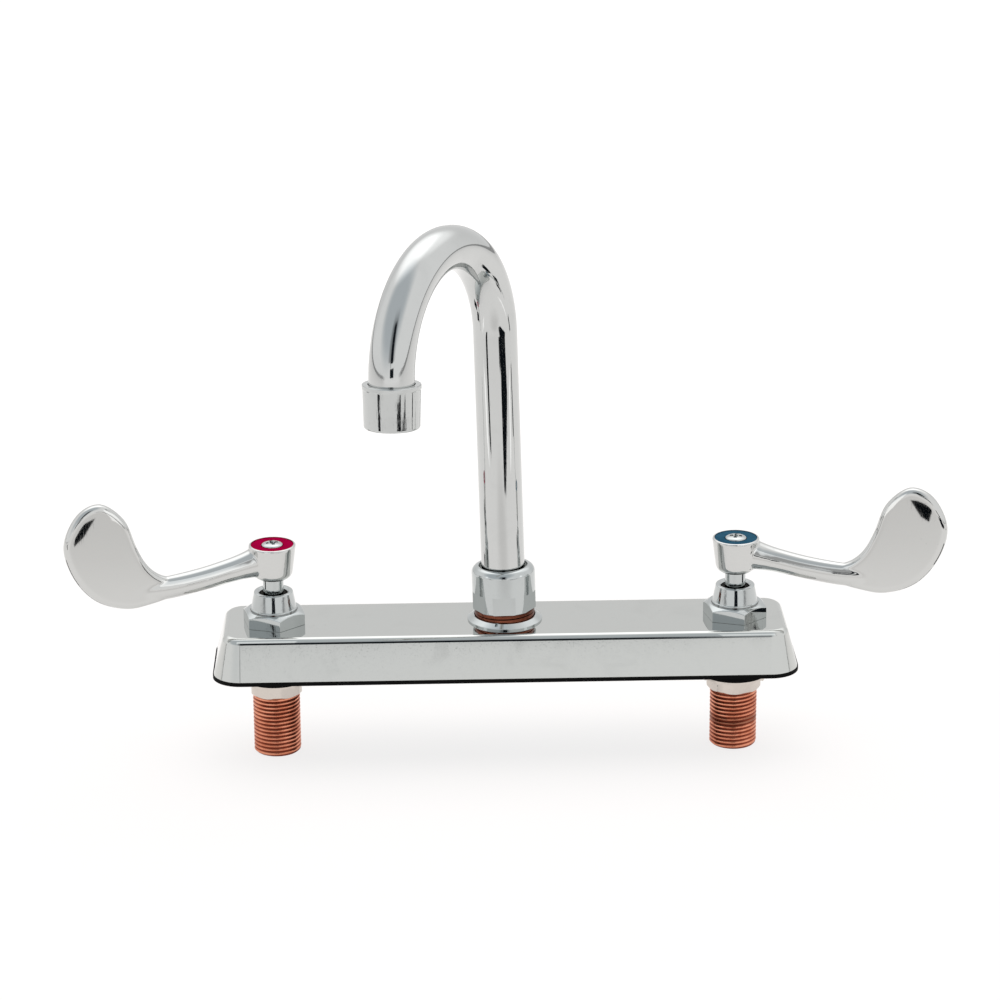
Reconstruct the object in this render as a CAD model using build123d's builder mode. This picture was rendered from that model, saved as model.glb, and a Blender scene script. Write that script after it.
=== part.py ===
from build123d import *
import math
import os

os.makedirs("parts", exist_ok=True)

# Lengths are millimetres and angles are degrees.
# +X points to the cold side, -Y to the person at the sink, +Z up.
# The origin lies on the deck, midway between the two valves.

# Clearances
sliding_gap = 0.05
running_gap = 0.07
seat_gap = 0.2

# Cover plate and its gasket
valve_centres = 203.2
plate_end_margin = 26.6
plate_width = 54.0
plate_rise = 18.3
plate_draft = 15.0
plate_corner = 12.5
plate_edge_round = 2.2
plate_wall = 1.0
plate_hole_gap = 0.25
gasket_thickness = 1.6
gasket_overhang = 0.3
gasket_hole_gap = 0.6

# Threaded shanks, half-inch straight pipe thread
shank_radius = 10.45
shank_drop = 40.5
shank_lead = 0.8
thread_pitch = 1.814
thread_groove = 0.46
thread_depth = 0.42
engaged_depth = 0.5

# Valve bodies
chamber_radius = 8.0
chamber_floor = 8.0
seat_ledge = 1.5
neck_ledge = 1.0
neck_wall = 1.2
barrel_shoulder = 2.2
foot_flange = 2.6
foot_height = 3.0

# Hexagon nuts and conical bonnets on the plate
half_flat_angle = 30.0
clamp_nut_wall = 2.25
clamp_nut_height = 6.3
clamp_nut_chamfer = 0.75
clamp_nut_chamfer_angle = 32.0
clamp_nut_turn = 12.0
bonnet_rise = 8.2
bonnet_lip = 0.1
bonnet_lip_height = 0.9
bonnet_shoulder = 0.4
bonnet_top_inset = 1.4
bonnet_mouth_chamfer = 0.8
bonnet_top_round = 0.5

# Quarter-turn cartridges
sleeve_wall = 0.45
sleeve_roof = 1.6
sleeve_flange_height = 1.6
sleeve_neck_wall = 1.5
sleeve_recess = 2.9
window_radius = 2.5
seal_height = 1.8
seal_width = 0.7
disc_gap = 0.1
fixed_disc_height = 2.8
moving_disc_height = 2.5
disc_port_radius = 1.9
disc_port_edge = 0.6
stem_radius = 4.5
stem_foot_inset = 0.5
stem_foot_height = 2.2
tongue_width = 2.6
tongue_length = 9.0
tongue_depth = 1.0
ring_section = 1.2
ring_groove_width = 1.5
ring_spacing = 3.6
first_ring_rise = 2.0

# Handles
handle_gap = 6.0
hub_height = 15.7
hub_top_radius = 10.45
hub_bottom_radius = 8.3
hub_bottom_round = 3.6
hub_rim_round = 0.4
hub_rim_wall = 0.75
hub_recess_depth = 1.8
hub_web = 2.6
stem_insertion = 1.6
square_size = 5.2
blade_thickness = 5.6
blade_edge_round = 2.3
hot_heading = 17.0
cold_heading = 12.0

# Stations of the round arm: distance from the hub axis, height above the hub's underside,
# half height and half width of the oval
arm_stations = (
    (4.0, 7.7, 5.5, 5.4),
    (18.0, 6.0, 5.25, 4.9),
    (32.0, 3.3, 5.1, 4.6),
    (46.0, 1.4, 5.1, 4.1),
    (62.0, 0.4, 4.9, 2.2),
)

# Outline of the flat blade: distance from the hub axis, height above the hub's underside
blade_outline = (
    (44.0, 5.0),
    (51.0, 8.0),
    (56.3, 13.4),
    (60.4, 21.8),
    (65.2, 34.6),
    (75.2, 42.6),
    (85.6, 38.6),
    (92.0, 25.4),
    (88.6, 10.8),
    (79.2, -0.9),
    (66.0, -6.1),
    (54.0, -5.0),
    (44.0, -2.4),
)

# Index rings and handle screws
index_thickness = 1.5
index_hole_gap = 0.2
screw_head_radius = 4.67
screw_head_side = 1.5
screw_head_dome = 1.2
screw_radius = 2.0
screw_length = 8.0
screw_tip_gap = 1.0
cross_width = 1.2
cross_length = 5.0
cross_depth = 1.2
cross_point_radius = 1.3
cross_point_depth = 2.2

# Lock nuts and washers under the deck
lock_flange_width = 4.45
lock_flange_height = 2.0
lock_collar_wall = 0.7
lock_collar_corner = 1.55
lock_collar_height = 5.3
lock_collar_chamfer = 1.0
scallop_count = 12
scallop_depth = 1.05
deck_washer_width = 5.05
deck_washer_thickness = 3.2
deck_washer_hole_gap = 0.5
hot_nut_drop = 5.7
cold_nut_drop = 6.8
hot_nut_turn = 35.0
cold_nut_turn = -4.0

# Spout post: it leans a little to the left and the back
lean_left = 1.45
lean_back = 1.65
post_rise = 6.1
post_thread_pitch = 1.27
post_thread_depth = 0.45
post_shoulder = 1.8
block_shoulder = 2.3
block_floor_height = 1.8
block_roof = 1.6
well_ledge = 2.5
spigot_wall = 0.675
spigot_rise = 10.0
spigot_chamfer = 0.5
first_spout_ring_rise = 3.6
spout_ring_spacing = 3.4
base_ring_width = 3.05
base_ring_height = 2.4
base_ring_bevel = 2.4
base_ring_edge = 0.7
notch_width = 2.0
notch_depth = 1.6
notch_turn = 13.0

# Swivel nut, its washer and the collar it holds down
swivel_nut_wall = 2.48
swivel_nut_height = 18.7
swivel_flats_wall = 1.55
swivel_flats_height = 7.4
swivel_flats_turn = -1.5
swivel_nut_lip = 3.6
swivel_nut_round = 3.3
swivel_hole_gap = 0.725
collar_height = 2.6
collar_gap = 0.2
swivel_washer_height = 2.4

# Gooseneck
tube_radius = 9.525
tube_wall = 1.0
bend_radius = 46.8
bend_angle = 176.2
spout_height = 129.9
leg_length = 20.0
spout_heading = 28.2
tube_end_swell = 0.775
tube_end_length = 7.5
swage_length = 7.0
swage_start_inset = 0.4

# Aerator
aerator_length = 18.5
aerator_top_wall = 1.65
aerator_bottom_wall = 1.25
aerator_bead = 0.25
aerator_bead_height = 1.6
aerator_bottom_round = 1.2
mouth_ledge = 1.55
mouth_length = 4.0
aerator_washer_width = 2.9
aerator_washer_height = 1.7
insert_hole_radius = 0.9
insert_ring_counts = (6, 12)
insert_ring_spacing = 3.6
screen_thickness = 0.5
screen_hole = 1.3
screen_pitch = 2.1

# Cross tubes
cross_tube_radius = 6.0
cross_tube_wall = 0.95
cross_tube_roof_gap = 1.0
socket_depth = 3.2

# Lengths and heights that follow from the sizes above
plate_length = valve_centres + 2 * plate_end_margin
plate_top = gasket_thickness + plate_rise
plate_ceiling = plate_top - plate_wall
cross_tube_height = plate_ceiling - cross_tube_roof_gap - cross_tube_radius
fixed_disc_base = chamber_floor + seal_height
moving_disc_base = fixed_disc_base + fixed_disc_height
stem_base = moving_disc_base + moving_disc_height
stem_foot_top = stem_base + stem_foot_height
neck_shoulder = stem_foot_top + running_gap + sleeve_roof
sleeve_neck_base = neck_shoulder + sleeve_flange_height
clamp_nut_top = plate_top + clamp_nut_height
bonnet_top = clamp_nut_top + bonnet_rise
sleeve_top = bonnet_top - sleeve_recess
first_ring = sleeve_neck_base + first_ring_rise
stem_ring_heights = (first_ring, first_ring + ring_spacing)
hub_bottom = bonnet_top + handle_gap
hub_top = hub_bottom + hub_height
index_floor = hub_top - hub_recess_depth
stem_shoulder = hub_bottom + stem_insertion
square_top = index_floor - hub_web
screw_tip = index_floor - screw_length
post_top = plate_top + post_rise
spigot_top = post_top + spigot_rise
well_top = plate_ceiling - block_roof
bend_start = plate_top + spout_height
first_spout_ring = post_top + first_spout_ring_rise
spout_ring_heights = (first_spout_ring, first_spout_ring + spout_ring_spacing)
swivel_nut_base = post_top + seat_gap
swivel_nut_top = swivel_nut_base + swivel_nut_height
swivel_washer_top = swivel_nut_top - swivel_nut_lip
collar_base = spigot_top + seat_gap

# Radii that follow from the sizes above
engaged_radius = shank_radius - engaged_depth
inlet_radius = chamber_radius - seat_ledge
neck_bore = chamber_radius + neck_ledge
neck_radius = neck_bore + neck_wall
barrel_radius = neck_radius + barrel_shoulder
foot_radius = barrel_radius + foot_flange
bonnet_lip_radius = neck_radius + bonnet_lip
bonnet_base_radius = bonnet_lip_radius - bonnet_shoulder
bonnet_top_radius = bonnet_base_radius - bonnet_top_inset
sleeve_outer = chamber_radius - sliding_gap
sleeve_inner = sleeve_outer - sleeve_wall
sleeve_neck_radius = stem_radius + sleeve_neck_wall
bonnet_bore = sleeve_neck_radius + seat_gap
disc_radius = sleeve_inner - disc_gap
disc_port_offset = disc_radius - seal_width - disc_port_edge - disc_port_radius
stem_foot_radius = disc_radius - stem_foot_inset
index_radius = hub_top_radius - hub_rim_wall
lock_flange_radius = shank_radius + lock_flange_width
lock_corner_radius = shank_radius + lock_collar_corner
deck_washer_radius = shank_radius + deck_washer_width
spigot_radius = tube_radius + ring_section + spigot_wall
post_radius = spigot_radius + post_shoulder
block_radius = post_radius + block_shoulder
well_radius = tube_radius - well_ledge
swivel_nut_bore = spigot_radius + sliding_gap
swivel_nut_radius = swivel_nut_bore + swivel_nut_wall
collar_radius = swivel_nut_bore - collar_gap
base_ring_bore = post_radius + plate_hole_gap
base_ring_radius = base_ring_bore + base_ring_width
tube_end_radius = tube_radius + tube_end_swell
aerator_bore = tube_end_radius + sliding_gap
mouth_radius = aerator_bore - mouth_ledge


def outline(plane, *points):
    """Closed flat outline through points on a plane."""
    with BuildSketch(plane) as flat:
        with BuildLine():
            Polyline(*points, close=True)
        make_face()
    return flat.sketch


def ring_outline(plane, inner, outer, low, high):
    """Rectangle between two radii and two heights."""
    return outline(plane, (inner, low), (outer, low), (outer, high), (inner, high))


def disc(plane, radius, x=0.0):
    """Round outline on a plane."""
    with BuildSketch(plane) as flat:
        with Locations((x, 0)):
            Circle(radius)
    return flat.sketch


def hexagon(plane, apothem, turn):
    """Hexagon whose flat is turned from the front towards +X."""
    with BuildSketch(plane) as flat:
        RegularPolygon(apothem, 6, major_radius=False, rotation=turn)
    return flat.sketch


def plate_outline(plane, overhang=0.0):
    """Foot outline of the cover plate."""
    with BuildSketch(plane) as flat:
        RectangleRounded(
            plate_length + 2 * overhang, plate_width + 2 * overhang, plate_corner + overhang
        )
    return flat.sketch


def groove_heights(low, high, pitch):
    """Middles of the thread grooves between two heights."""
    count = int((high - low) / pitch - 0.5)
    return [low + pitch * (index + 0.75) for index in range(count)]


def groove(plane, radius, middle, width, depth):
    """V-shaped groove in the outside of a round shank."""
    outside = radius + depth
    return outline(
        plane,
        (radius - depth, middle),
        (radius, middle - width / 2),
        (outside, middle - width / 2),
        (outside, middle + width / 2),
        (radius, middle + width / 2),
    )


def ring_cord(plane, inner_radius, middle):
    """Round section of a rubber ring that sits in its groove."""
    cord_radius = ring_section / 2 - sliding_gap
    with BuildSketch(plane) as flat:
        with Locations((inner_radius + ring_section / 2 + sliding_gap / 2, middle)):
            Circle(cord_radius)
    return flat.sketch


def ring_groove(plane, inner_radius, middle):
    """Groove for a rubber ring round a shaft."""
    half_width = ring_groove_width / 2
    return ring_outline(
        plane, inner_radius, inner_radius + ring_section, middle - half_width, middle + half_width
    )


def hub_outline(plane):
    """Section of a handle's tapering hub, round at its foot and at its rim."""
    with BuildSketch(plane) as flat:
        with BuildLine():
            Polyline(
                (0, hub_bottom),
                (hub_bottom_radius, hub_bottom),
                (hub_top_radius, hub_top),
                (0, hub_top),
                close=True,
            )
        make_face()
        fillet(flat.vertices().group_by(Axis.Y)[0].sort_by(Axis.X)[-1], hub_bottom_round)
        fillet(flat.vertices().group_by(Axis.Y)[-1].sort_by(Axis.X)[-1], hub_rim_round)
    return flat.sketch


# Each valve: its name, its side, its handle's heading, its lock nut's place and turn
valves = (
    ("hot", -1, hot_heading, hot_nut_drop, hot_nut_turn),
    ("cold", 1, cold_heading, cold_nut_drop, cold_nut_turn),
)

# Frame of the leaning spout post, whose heights are counted from the deck along the post
lean_axis = Vector(
    -math.sin(math.radians(lean_left)), math.sin(math.radians(lean_back)), 1
).normalized()
post_origin = Vector(0, 0, plate_top) - lean_axis * plate_top
heading = Vector(-math.sin(math.radians(spout_heading)), -math.cos(math.radians(spout_heading)), 0)
reach_dir = (heading - lean_axis * heading.dot(lean_axis)).normalized()
post_section = Plane(origin=post_origin, x_dir=reach_dir, z_dir=reach_dir.cross(lean_axis))
post_level = Plane(origin=post_origin, x_dir=(1, 0, 0), z_dir=lean_axis)
post_axis = Axis(post_origin, lean_axis)

# Base gasket: a rubber sheet under the whole plate
with BuildPart() as base_gasket:
    extrude(plate_outline(Plane.XY, gasket_overhang), amount=gasket_thickness)
    for side in (-1, 1):
        extrude(
            disc(Plane.XY, shank_radius + gasket_hole_gap, side * valve_centres / 2),
            amount=gasket_thickness,
            mode=Mode.SUBTRACT,
        )
base_gasket.part.label = "base_gasket"
export_step(base_gasket.part, "parts/base_gasket.step")

# Cover plate: a drawn box of sheet metal, open at its foot
with BuildPart() as cover_plate:
    extrude(
        plate_outline(Plane.XY.offset(gasket_thickness)), amount=plate_rise, taper=plate_draft
    )
    fillet(cover_plate.faces().sort_by(Axis.Z)[-1].edges(), plate_edge_round)
    offset(amount=-plate_wall, openings=cover_plate.faces().sort_by(Axis.Z)[0])
    for side in (-1, 1):
        extrude(
            disc(
                Plane.XY.offset(plate_ceiling),
                neck_radius + plate_hole_gap,
                side * valve_centres / 2,
            ),
            amount=plate_wall,
            mode=Mode.SUBTRACT,
        )
    extrude(
        disc(Plane.XY.offset(plate_ceiling), post_radius + plate_hole_gap),
        amount=plate_wall,
        mode=Mode.SUBTRACT,
    )
cover_plate.part.label = "cover_plate"
export_step(cover_plate.part, "parts/cover_plate.step")

# Spout body: a round block under the plate, with the leaning post and spigot on it
with BuildPart() as spout_body:
    revolve(ring_outline(Plane.YZ, 0, block_radius, gasket_thickness, plate_ceiling), Axis.Z)
    revolve(ring_outline(post_section, 0, post_radius, well_top, post_top), post_axis)
    revolve(ring_outline(post_section, 0, spigot_radius, post_top, spigot_top), post_axis)
    chamfer(spout_body.edges().group_by(Axis.Z)[-1], spigot_chamfer)
    for middle in groove_heights(plate_top, post_top, post_thread_pitch):
        revolve(
            groove(post_section, post_radius, middle, post_thread_pitch / 2, post_thread_depth),
            post_axis,
            mode=Mode.SUBTRACT,
        )
    revolve(
        ring_outline(post_section, 0, tube_radius + running_gap, well_top, spigot_top),
        post_axis,
        mode=Mode.SUBTRACT,
    )
    for middle in spout_ring_heights:
        revolve(ring_groove(post_section, tube_radius, middle), post_axis, mode=Mode.SUBTRACT)
    revolve(
        ring_outline(
            Plane.YZ, 0, well_radius, gasket_thickness + block_floor_height, plate_ceiling
        ),
        Axis.Z,
        mode=Mode.SUBTRACT,
    )
    for side in (-1, 1):
        port = Plane(origin=(0, 0, cross_tube_height), x_dir=(0, 1, 0), z_dir=(side, 0, 0))
        extrude(
            disc(port, cross_tube_radius - cross_tube_wall), amount=block_radius, mode=Mode.SUBTRACT
        )
        extrude(
            disc(port.offset(block_radius - socket_depth), cross_tube_radius + sliding_gap),
            amount=socket_depth,
            mode=Mode.SUBTRACT,
        )
spout_body.part.label = "spout_body"
export_step(spout_body.part, "parts/spout_body.step")

# Rubber rings that seal the spout tube in the spigot
with BuildPart() as spout_o_rings:
    for middle in spout_ring_heights:
        revolve(ring_cord(post_section, tube_radius, middle), post_axis)
spout_o_rings.part.label = "spout_o_rings"
export_step(spout_o_rings.part, "parts/spout_o_rings.step")

# Spout base ring: a low threaded ring that clamps the plate, with two spanner notches
with BuildPart() as spout_base_ring:
    revolve(
        outline(
            Plane.YZ,
            (base_ring_bore, plate_top),
            (base_ring_radius, plate_top),
            (base_ring_radius, plate_top + base_ring_edge),
            (base_ring_radius - base_ring_bevel, plate_top + base_ring_height),
            (base_ring_bore, plate_top + base_ring_height),
        ),
        Axis.Z,
    )
    with BuildSketch(Plane.XY.offset(plate_top)):
        with PolarLocations(base_ring_radius, 2, 270 - notch_turn):
            Rectangle(2 * notch_depth, notch_width)
    extrude(amount=base_ring_height, mode=Mode.SUBTRACT)
spout_base_ring.part.label = "spout_base_ring"
export_step(spout_base_ring.part, "parts/spout_base_ring.step")

# Swivel nut: wrench flats below, a round collar with a rounded shoulder above
with BuildPart() as swivel_nut:
    revolve(
        ring_outline(post_section, 0, swivel_nut_radius, swivel_nut_base, swivel_nut_top), post_axis
    )
    fillet(swivel_nut.edges().group_by(Axis.Z)[-1], swivel_nut_round)
    with BuildSketch(post_level.offset(swivel_nut_base)):
        Circle(2 * swivel_nut_radius)
        RegularPolygon(
            swivel_nut_bore + swivel_flats_wall,
            6,
            major_radius=False,
            rotation=swivel_flats_turn,
            mode=Mode.SUBTRACT,
        )
    extrude(amount=swivel_flats_height, mode=Mode.SUBTRACT)
    revolve(
        ring_outline(post_section, 0, swivel_nut_bore, swivel_nut_base, swivel_washer_top),
        post_axis,
        mode=Mode.SUBTRACT,
    )
    revolve(
        ring_outline(
            post_section, 0, tube_radius + swivel_hole_gap, swivel_nut_base, swivel_nut_top
        ),
        post_axis,
        mode=Mode.SUBTRACT,
    )
swivel_nut.part.label = "swivel_nut"
export_step(swivel_nut.part, "parts/swivel_nut.step")

# Swivel washer: plastic, between the tube's collar and the nut's lip
with BuildPart() as swivel_washer:
    revolve(
        ring_outline(
            post_section,
            tube_radius + seat_gap,
            collar_radius,
            swivel_washer_top - swivel_washer_height,
            swivel_washer_top,
        ),
        post_axis,
    )
swivel_washer.part.label = "swivel_washer"
export_step(swivel_washer.part, "parts/swivel_washer.step")

# Spout collar: brass ring fixed on the tube, held down by the swivel nut
with BuildPart() as spout_collar:
    revolve(
        ring_outline(
            post_section, tube_radius, collar_radius, collar_base, collar_base + collar_height
        ),
        post_axis,
    )
spout_collar.part.label = "spout_collar"
export_step(spout_collar.part, "parts/spout_collar.step")

# Gooseneck path in the post's section plane: up, round the bend and down to the outlet
tube_base = well_top + seat_gap
bend_end = (
    bend_radius * (1 - math.cos(math.radians(bend_angle))),
    bend_start + bend_radius * math.sin(math.radians(bend_angle)),
)
leg_dir = (math.sin(math.radians(bend_angle)), math.cos(math.radians(bend_angle)))
aerator_start = leg_length - aerator_length
tube_end = aerator_start + tube_end_length
leg_foot = (bend_end[0] + leg_dir[0] * tube_end, bend_end[1] + leg_dir[1] * tube_end)

# Frame of the outlet: heights are counted down the leg from the top of the aerator
outlet_dir = reach_dir * leg_dir[0] + lean_axis * leg_dir[1]
outlet_side = reach_dir.cross(lean_axis).cross(outlet_dir)
outlet_origin = (
    post_origin + reach_dir * bend_end[0] + lean_axis * bend_end[1] + outlet_dir * aerator_start
)
outlet_section = Plane(
    origin=outlet_origin, x_dir=outlet_side, z_dir=outlet_side.cross(outlet_dir)
)
outlet_level = Plane(origin=outlet_origin, x_dir=outlet_side, z_dir=outlet_dir)
outlet_axis = Axis(outlet_origin, outlet_dir)

# Spout tube: drawn tube, swaged wider where the aerator screws on
with BuildPart() as spout_tube:
    with BuildLine(post_section) as spout_path:
        Line((0, tube_base), (0, bend_start))
        CenterArc((bend_radius, bend_start), bend_radius, 180, -bend_angle)
        Line(bend_end, leg_foot)
    with BuildSketch(post_level.offset(tube_base)):
        Circle(tube_radius)
    sweep(path=spout_path.line)
    revolve(
        outline(
            outlet_section,
            (0, -swage_length),
            (tube_radius - swage_start_inset, -swage_length),
            (tube_end_radius, 0),
            (tube_end_radius, tube_end_length),
            (0, tube_end_length),
        ),
        outlet_axis,
    )
    with BuildSketch(post_level.offset(tube_base)):
        Circle(tube_radius - tube_wall)
    sweep(path=spout_path.line, mode=Mode.SUBTRACT)
spout_tube.part.label = "spout_tube"
export_step(spout_tube.part, "parts/spout_tube.step")

# Aerator housing: a chrome sleeve on the tube's end
shoulder = aerator_length - mouth_length
bead_radius = aerator_bore + aerator_top_wall + aerator_bead
with BuildPart() as aerator_housing:
    revolve(
        outline(
            outlet_section,
            (aerator_bore, 0),
            (bead_radius, 0),
            (bead_radius, aerator_bead_height),
            (bead_radius - aerator_bead, aerator_bead_height + 2 * aerator_bead),
            (aerator_bore + aerator_bottom_wall, aerator_length),
            (mouth_radius, aerator_length),
            (mouth_radius, shoulder),
            (aerator_bore, shoulder),
        ),
        outlet_axis,
    )
    foot = aerator_housing.faces().filter_by(outlet_axis).sort_by(outlet_axis)[-1]
    fillet(foot.edges().sort_by(SortBy.RADIUS)[-1], aerator_bottom_round)
aerator_housing.part.label = "aerator_housing"
export_step(aerator_housing.part, "parts/aerator_housing.step")

# Aerator washer: rubber, between the tube's end and the insert
insert_top = tube_end_length + aerator_washer_height
insert_radius = aerator_bore - sliding_gap
with BuildPart() as aerator_washer:
    revolve(
        ring_outline(
            outlet_section,
            aerator_bore - aerator_washer_width,
            insert_radius,
            tube_end_length,
            insert_top,
        ),
        outlet_axis,
    )
aerator_washer.part.label = "aerator_washer"
export_step(aerator_washer.part, "parts/aerator_washer.step")

# Aerator insert: plastic plug with rings of small holes
insert_height = shoulder - screen_thickness - insert_top
with BuildPart() as aerator_insert:
    extrude(disc(outlet_level.offset(insert_top), insert_radius), amount=insert_height)
    with BuildSketch(outlet_level.offset(insert_top)):
        Circle(insert_hole_radius)
        for ring, count in enumerate(insert_ring_counts):
            with PolarLocations(insert_ring_spacing * (ring + 1), count):
                Circle(insert_hole_radius)
    extrude(amount=insert_height, mode=Mode.SUBTRACT)
aerator_insert.part.label = "aerator_insert"
export_step(aerator_insert.part, "parts/aerator_insert.step")

# Aerator screen: thin perforated disc on the mouth's shoulder
with BuildPart() as aerator_screen:
    screen_level = outlet_level.offset(shoulder - screen_thickness)
    extrude(disc(screen_level, insert_radius), amount=screen_thickness)
    screen_hole_reach = mouth_radius - screen_hole
    holes_across = 2 * int(screen_hole_reach / screen_pitch) + 1
    with BuildSketch(screen_level):
        with GridLocations(screen_pitch, screen_pitch, holes_across, holes_across) as grid:
            places = grid.local_locations
        for place in places:
            if place.position.length < screen_hole_reach:
                with Locations(place):
                    Rectangle(screen_hole, screen_hole)
    extrude(amount=screen_thickness, mode=Mode.SUBTRACT)
aerator_screen.part.label = "aerator_screen"
export_step(aerator_screen.part, "parts/aerator_screen.step")

for name, side, handle_turn, nut_drop, nut_turn in valves:
    x = side * valve_centres / 2
    section = Plane(origin=(x, 0, 0), x_dir=(0, 1, 0), z_dir=(1, 0, 0))
    level = Plane(origin=(x, 0, 0), x_dir=(1, 0, 0), z_dir=(0, 0, 1))
    axis = Axis((x, 0, 0), (0, 0, 1))
    inward = Plane(origin=(x, 0, cross_tube_height), x_dir=(0, 1, 0), z_dir=(-side, 0, 0))
    handle_dir = Vector(
        side * math.cos(math.radians(handle_turn)), -math.sin(math.radians(handle_turn)), 0
    )
    nut_foot = -nut_drop - lock_flange_height - lock_collar_height

    # Valve body: threaded shank, foot on the gasket, barrel under the plate, threaded neck
    with BuildPart() as valve_body:
        revolve(
            outline(
                section,
                (inlet_radius, -shank_drop + shank_lead),
                (inlet_radius + shank_lead, -shank_drop),
                (shank_radius - shank_lead, -shank_drop),
                (shank_radius, -shank_drop + shank_lead),
                (shank_radius, nut_foot),
                (engaged_radius, nut_foot),
                (engaged_radius, -nut_drop),
                (shank_radius, -nut_drop),
                (shank_radius, gasket_thickness),
                (foot_radius, gasket_thickness),
                (foot_radius, gasket_thickness + foot_height),
                (barrel_radius, gasket_thickness + foot_height),
                (barrel_radius, plate_ceiling),
                (neck_radius, plate_ceiling),
                (neck_radius, clamp_nut_top),
                (neck_bore, clamp_nut_top),
                (neck_bore, neck_shoulder),
                (chamber_radius, neck_shoulder),
                (chamber_radius, chamber_floor),
                (inlet_radius, chamber_floor),
            ),
            axis,
        )
        for middle in groove_heights(-shank_drop, nut_foot, thread_pitch):
            revolve(
                groove(section, shank_radius, middle, thread_groove, thread_depth),
                axis,
                mode=Mode.SUBTRACT,
            )
        extrude(
            disc(inward.offset(inlet_radius), cross_tube_radius - cross_tube_wall),
            amount=barrel_radius,
            mode=Mode.SUBTRACT,
        )
        extrude(
            disc(inward.offset(barrel_radius - socket_depth), cross_tube_radius + sliding_gap),
            amount=foot_radius,
            mode=Mode.SUBTRACT,
        )
    valve_body.part.label = f"{name}_valve_body"
    export_step(valve_body.part, f"parts/{name}_valve_body.step")

    # Cross tube: brings the water from the valve body to the spout body
    tube_start = barrel_radius - socket_depth
    tube_length = valve_centres / 2 - tube_start - (block_radius - socket_depth)
    with BuildPart() as cross_tube:
        with BuildSketch(inward.offset(tube_start)):
            Circle(cross_tube_radius)
            Circle(cross_tube_radius - cross_tube_wall, mode=Mode.SUBTRACT)
        extrude(amount=tube_length)
    cross_tube.part.label = f"{name}_cross_tube"
    export_step(cross_tube.part, f"parts/{name}_cross_tube.step")

    # Deck washer: black rubber, pressed up against the sink by the lock nut
    with BuildPart() as deck_washer:
        revolve(
            ring_outline(
                section,
                shank_radius + deck_washer_hole_gap,
                deck_washer_radius,
                -nut_drop,
                -nut_drop + deck_washer_thickness,
            ),
            axis,
        )
    deck_washer.part.label = f"{name}_deck_washer"
    export_step(deck_washer.part, f"parts/{name}_deck_washer.step")

    # Lock nut: scalloped flange above a hexagonal collar
    flange_foot = -nut_drop - lock_flange_height
    half_scallop = lock_flange_radius * math.sin(math.pi / scallop_count)
    scallop_radius = (half_scallop**2 + scallop_depth**2) / (2 * scallop_depth)
    scallop_middle = flange_foot + scallop_depth - scallop_radius
    with BuildPart() as lock_nut:
        revolve(ring_outline(section, 0, lock_flange_radius, flange_foot, -nut_drop), axis)
        for index in range(scallop_count):
            angle = math.radians((index + 0.5) * 360 / scallop_count + nut_turn)
            outward = Vector(math.cos(angle), math.sin(angle), 0)
            scallop_plane = Plane(
                origin=Vector(x, 0, scallop_middle) + outward * lock_corner_radius,
                x_dir=(0, 0, 1),
                z_dir=outward,
            )
            extrude(
                disc(scallop_plane, scallop_radius), amount=lock_flange_width, mode=Mode.SUBTRACT
            )
        with BuildSketch(level.offset(nut_foot)):
            RegularPolygon(
                shank_radius + lock_collar_wall, 6, major_radius=False, rotation=nut_turn
            )
            Circle(lock_corner_radius, mode=Mode.INTERSECT)
        extrude(amount=lock_collar_height)
        revolve(
            outline(
                section,
                (lock_corner_radius - lock_collar_chamfer, nut_foot),
                (lock_corner_radius, nut_foot),
                (lock_corner_radius, nut_foot + lock_collar_chamfer),
            ),
            axis,
            mode=Mode.SUBTRACT,
        )
        revolve(
            ring_outline(section, 0, engaged_radius + sliding_gap, nut_foot, -nut_drop),
            axis,
            mode=Mode.SUBTRACT,
        )
    lock_nut.part.label = f"{name}_lock_nut"
    export_step(lock_nut.part, f"parts/{name}_lock_nut.step")

    # Clamp nut: chamfered hexagon that holds the plate down on the valve body
    flat_reach = neck_radius + clamp_nut_wall
    corner_reach = flat_reach / math.cos(math.radians(half_flat_angle))
    chamfer_start = flat_reach - clamp_nut_chamfer
    chamfer_drop = (corner_reach - chamfer_start) * math.tan(math.radians(clamp_nut_chamfer_angle))
    with BuildPart() as clamp_nut:
        extrude(
            hexagon(level.offset(plate_top), flat_reach, clamp_nut_turn + half_flat_angle),
            amount=clamp_nut_height,
        )
        revolve(
            outline(
                section,
                (chamfer_start, clamp_nut_top),
                (corner_reach, clamp_nut_top),
                (corner_reach, clamp_nut_top - chamfer_drop),
            ),
            axis,
            mode=Mode.SUBTRACT,
        )
        extrude(
            disc(level.offset(plate_top), neck_radius + sliding_gap),
            amount=clamp_nut_height,
            mode=Mode.SUBTRACT,
        )
    clamp_nut.part.label = f"{name}_clamp_nut"
    export_step(clamp_nut.part, f"parts/{name}_clamp_nut.step")

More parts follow.
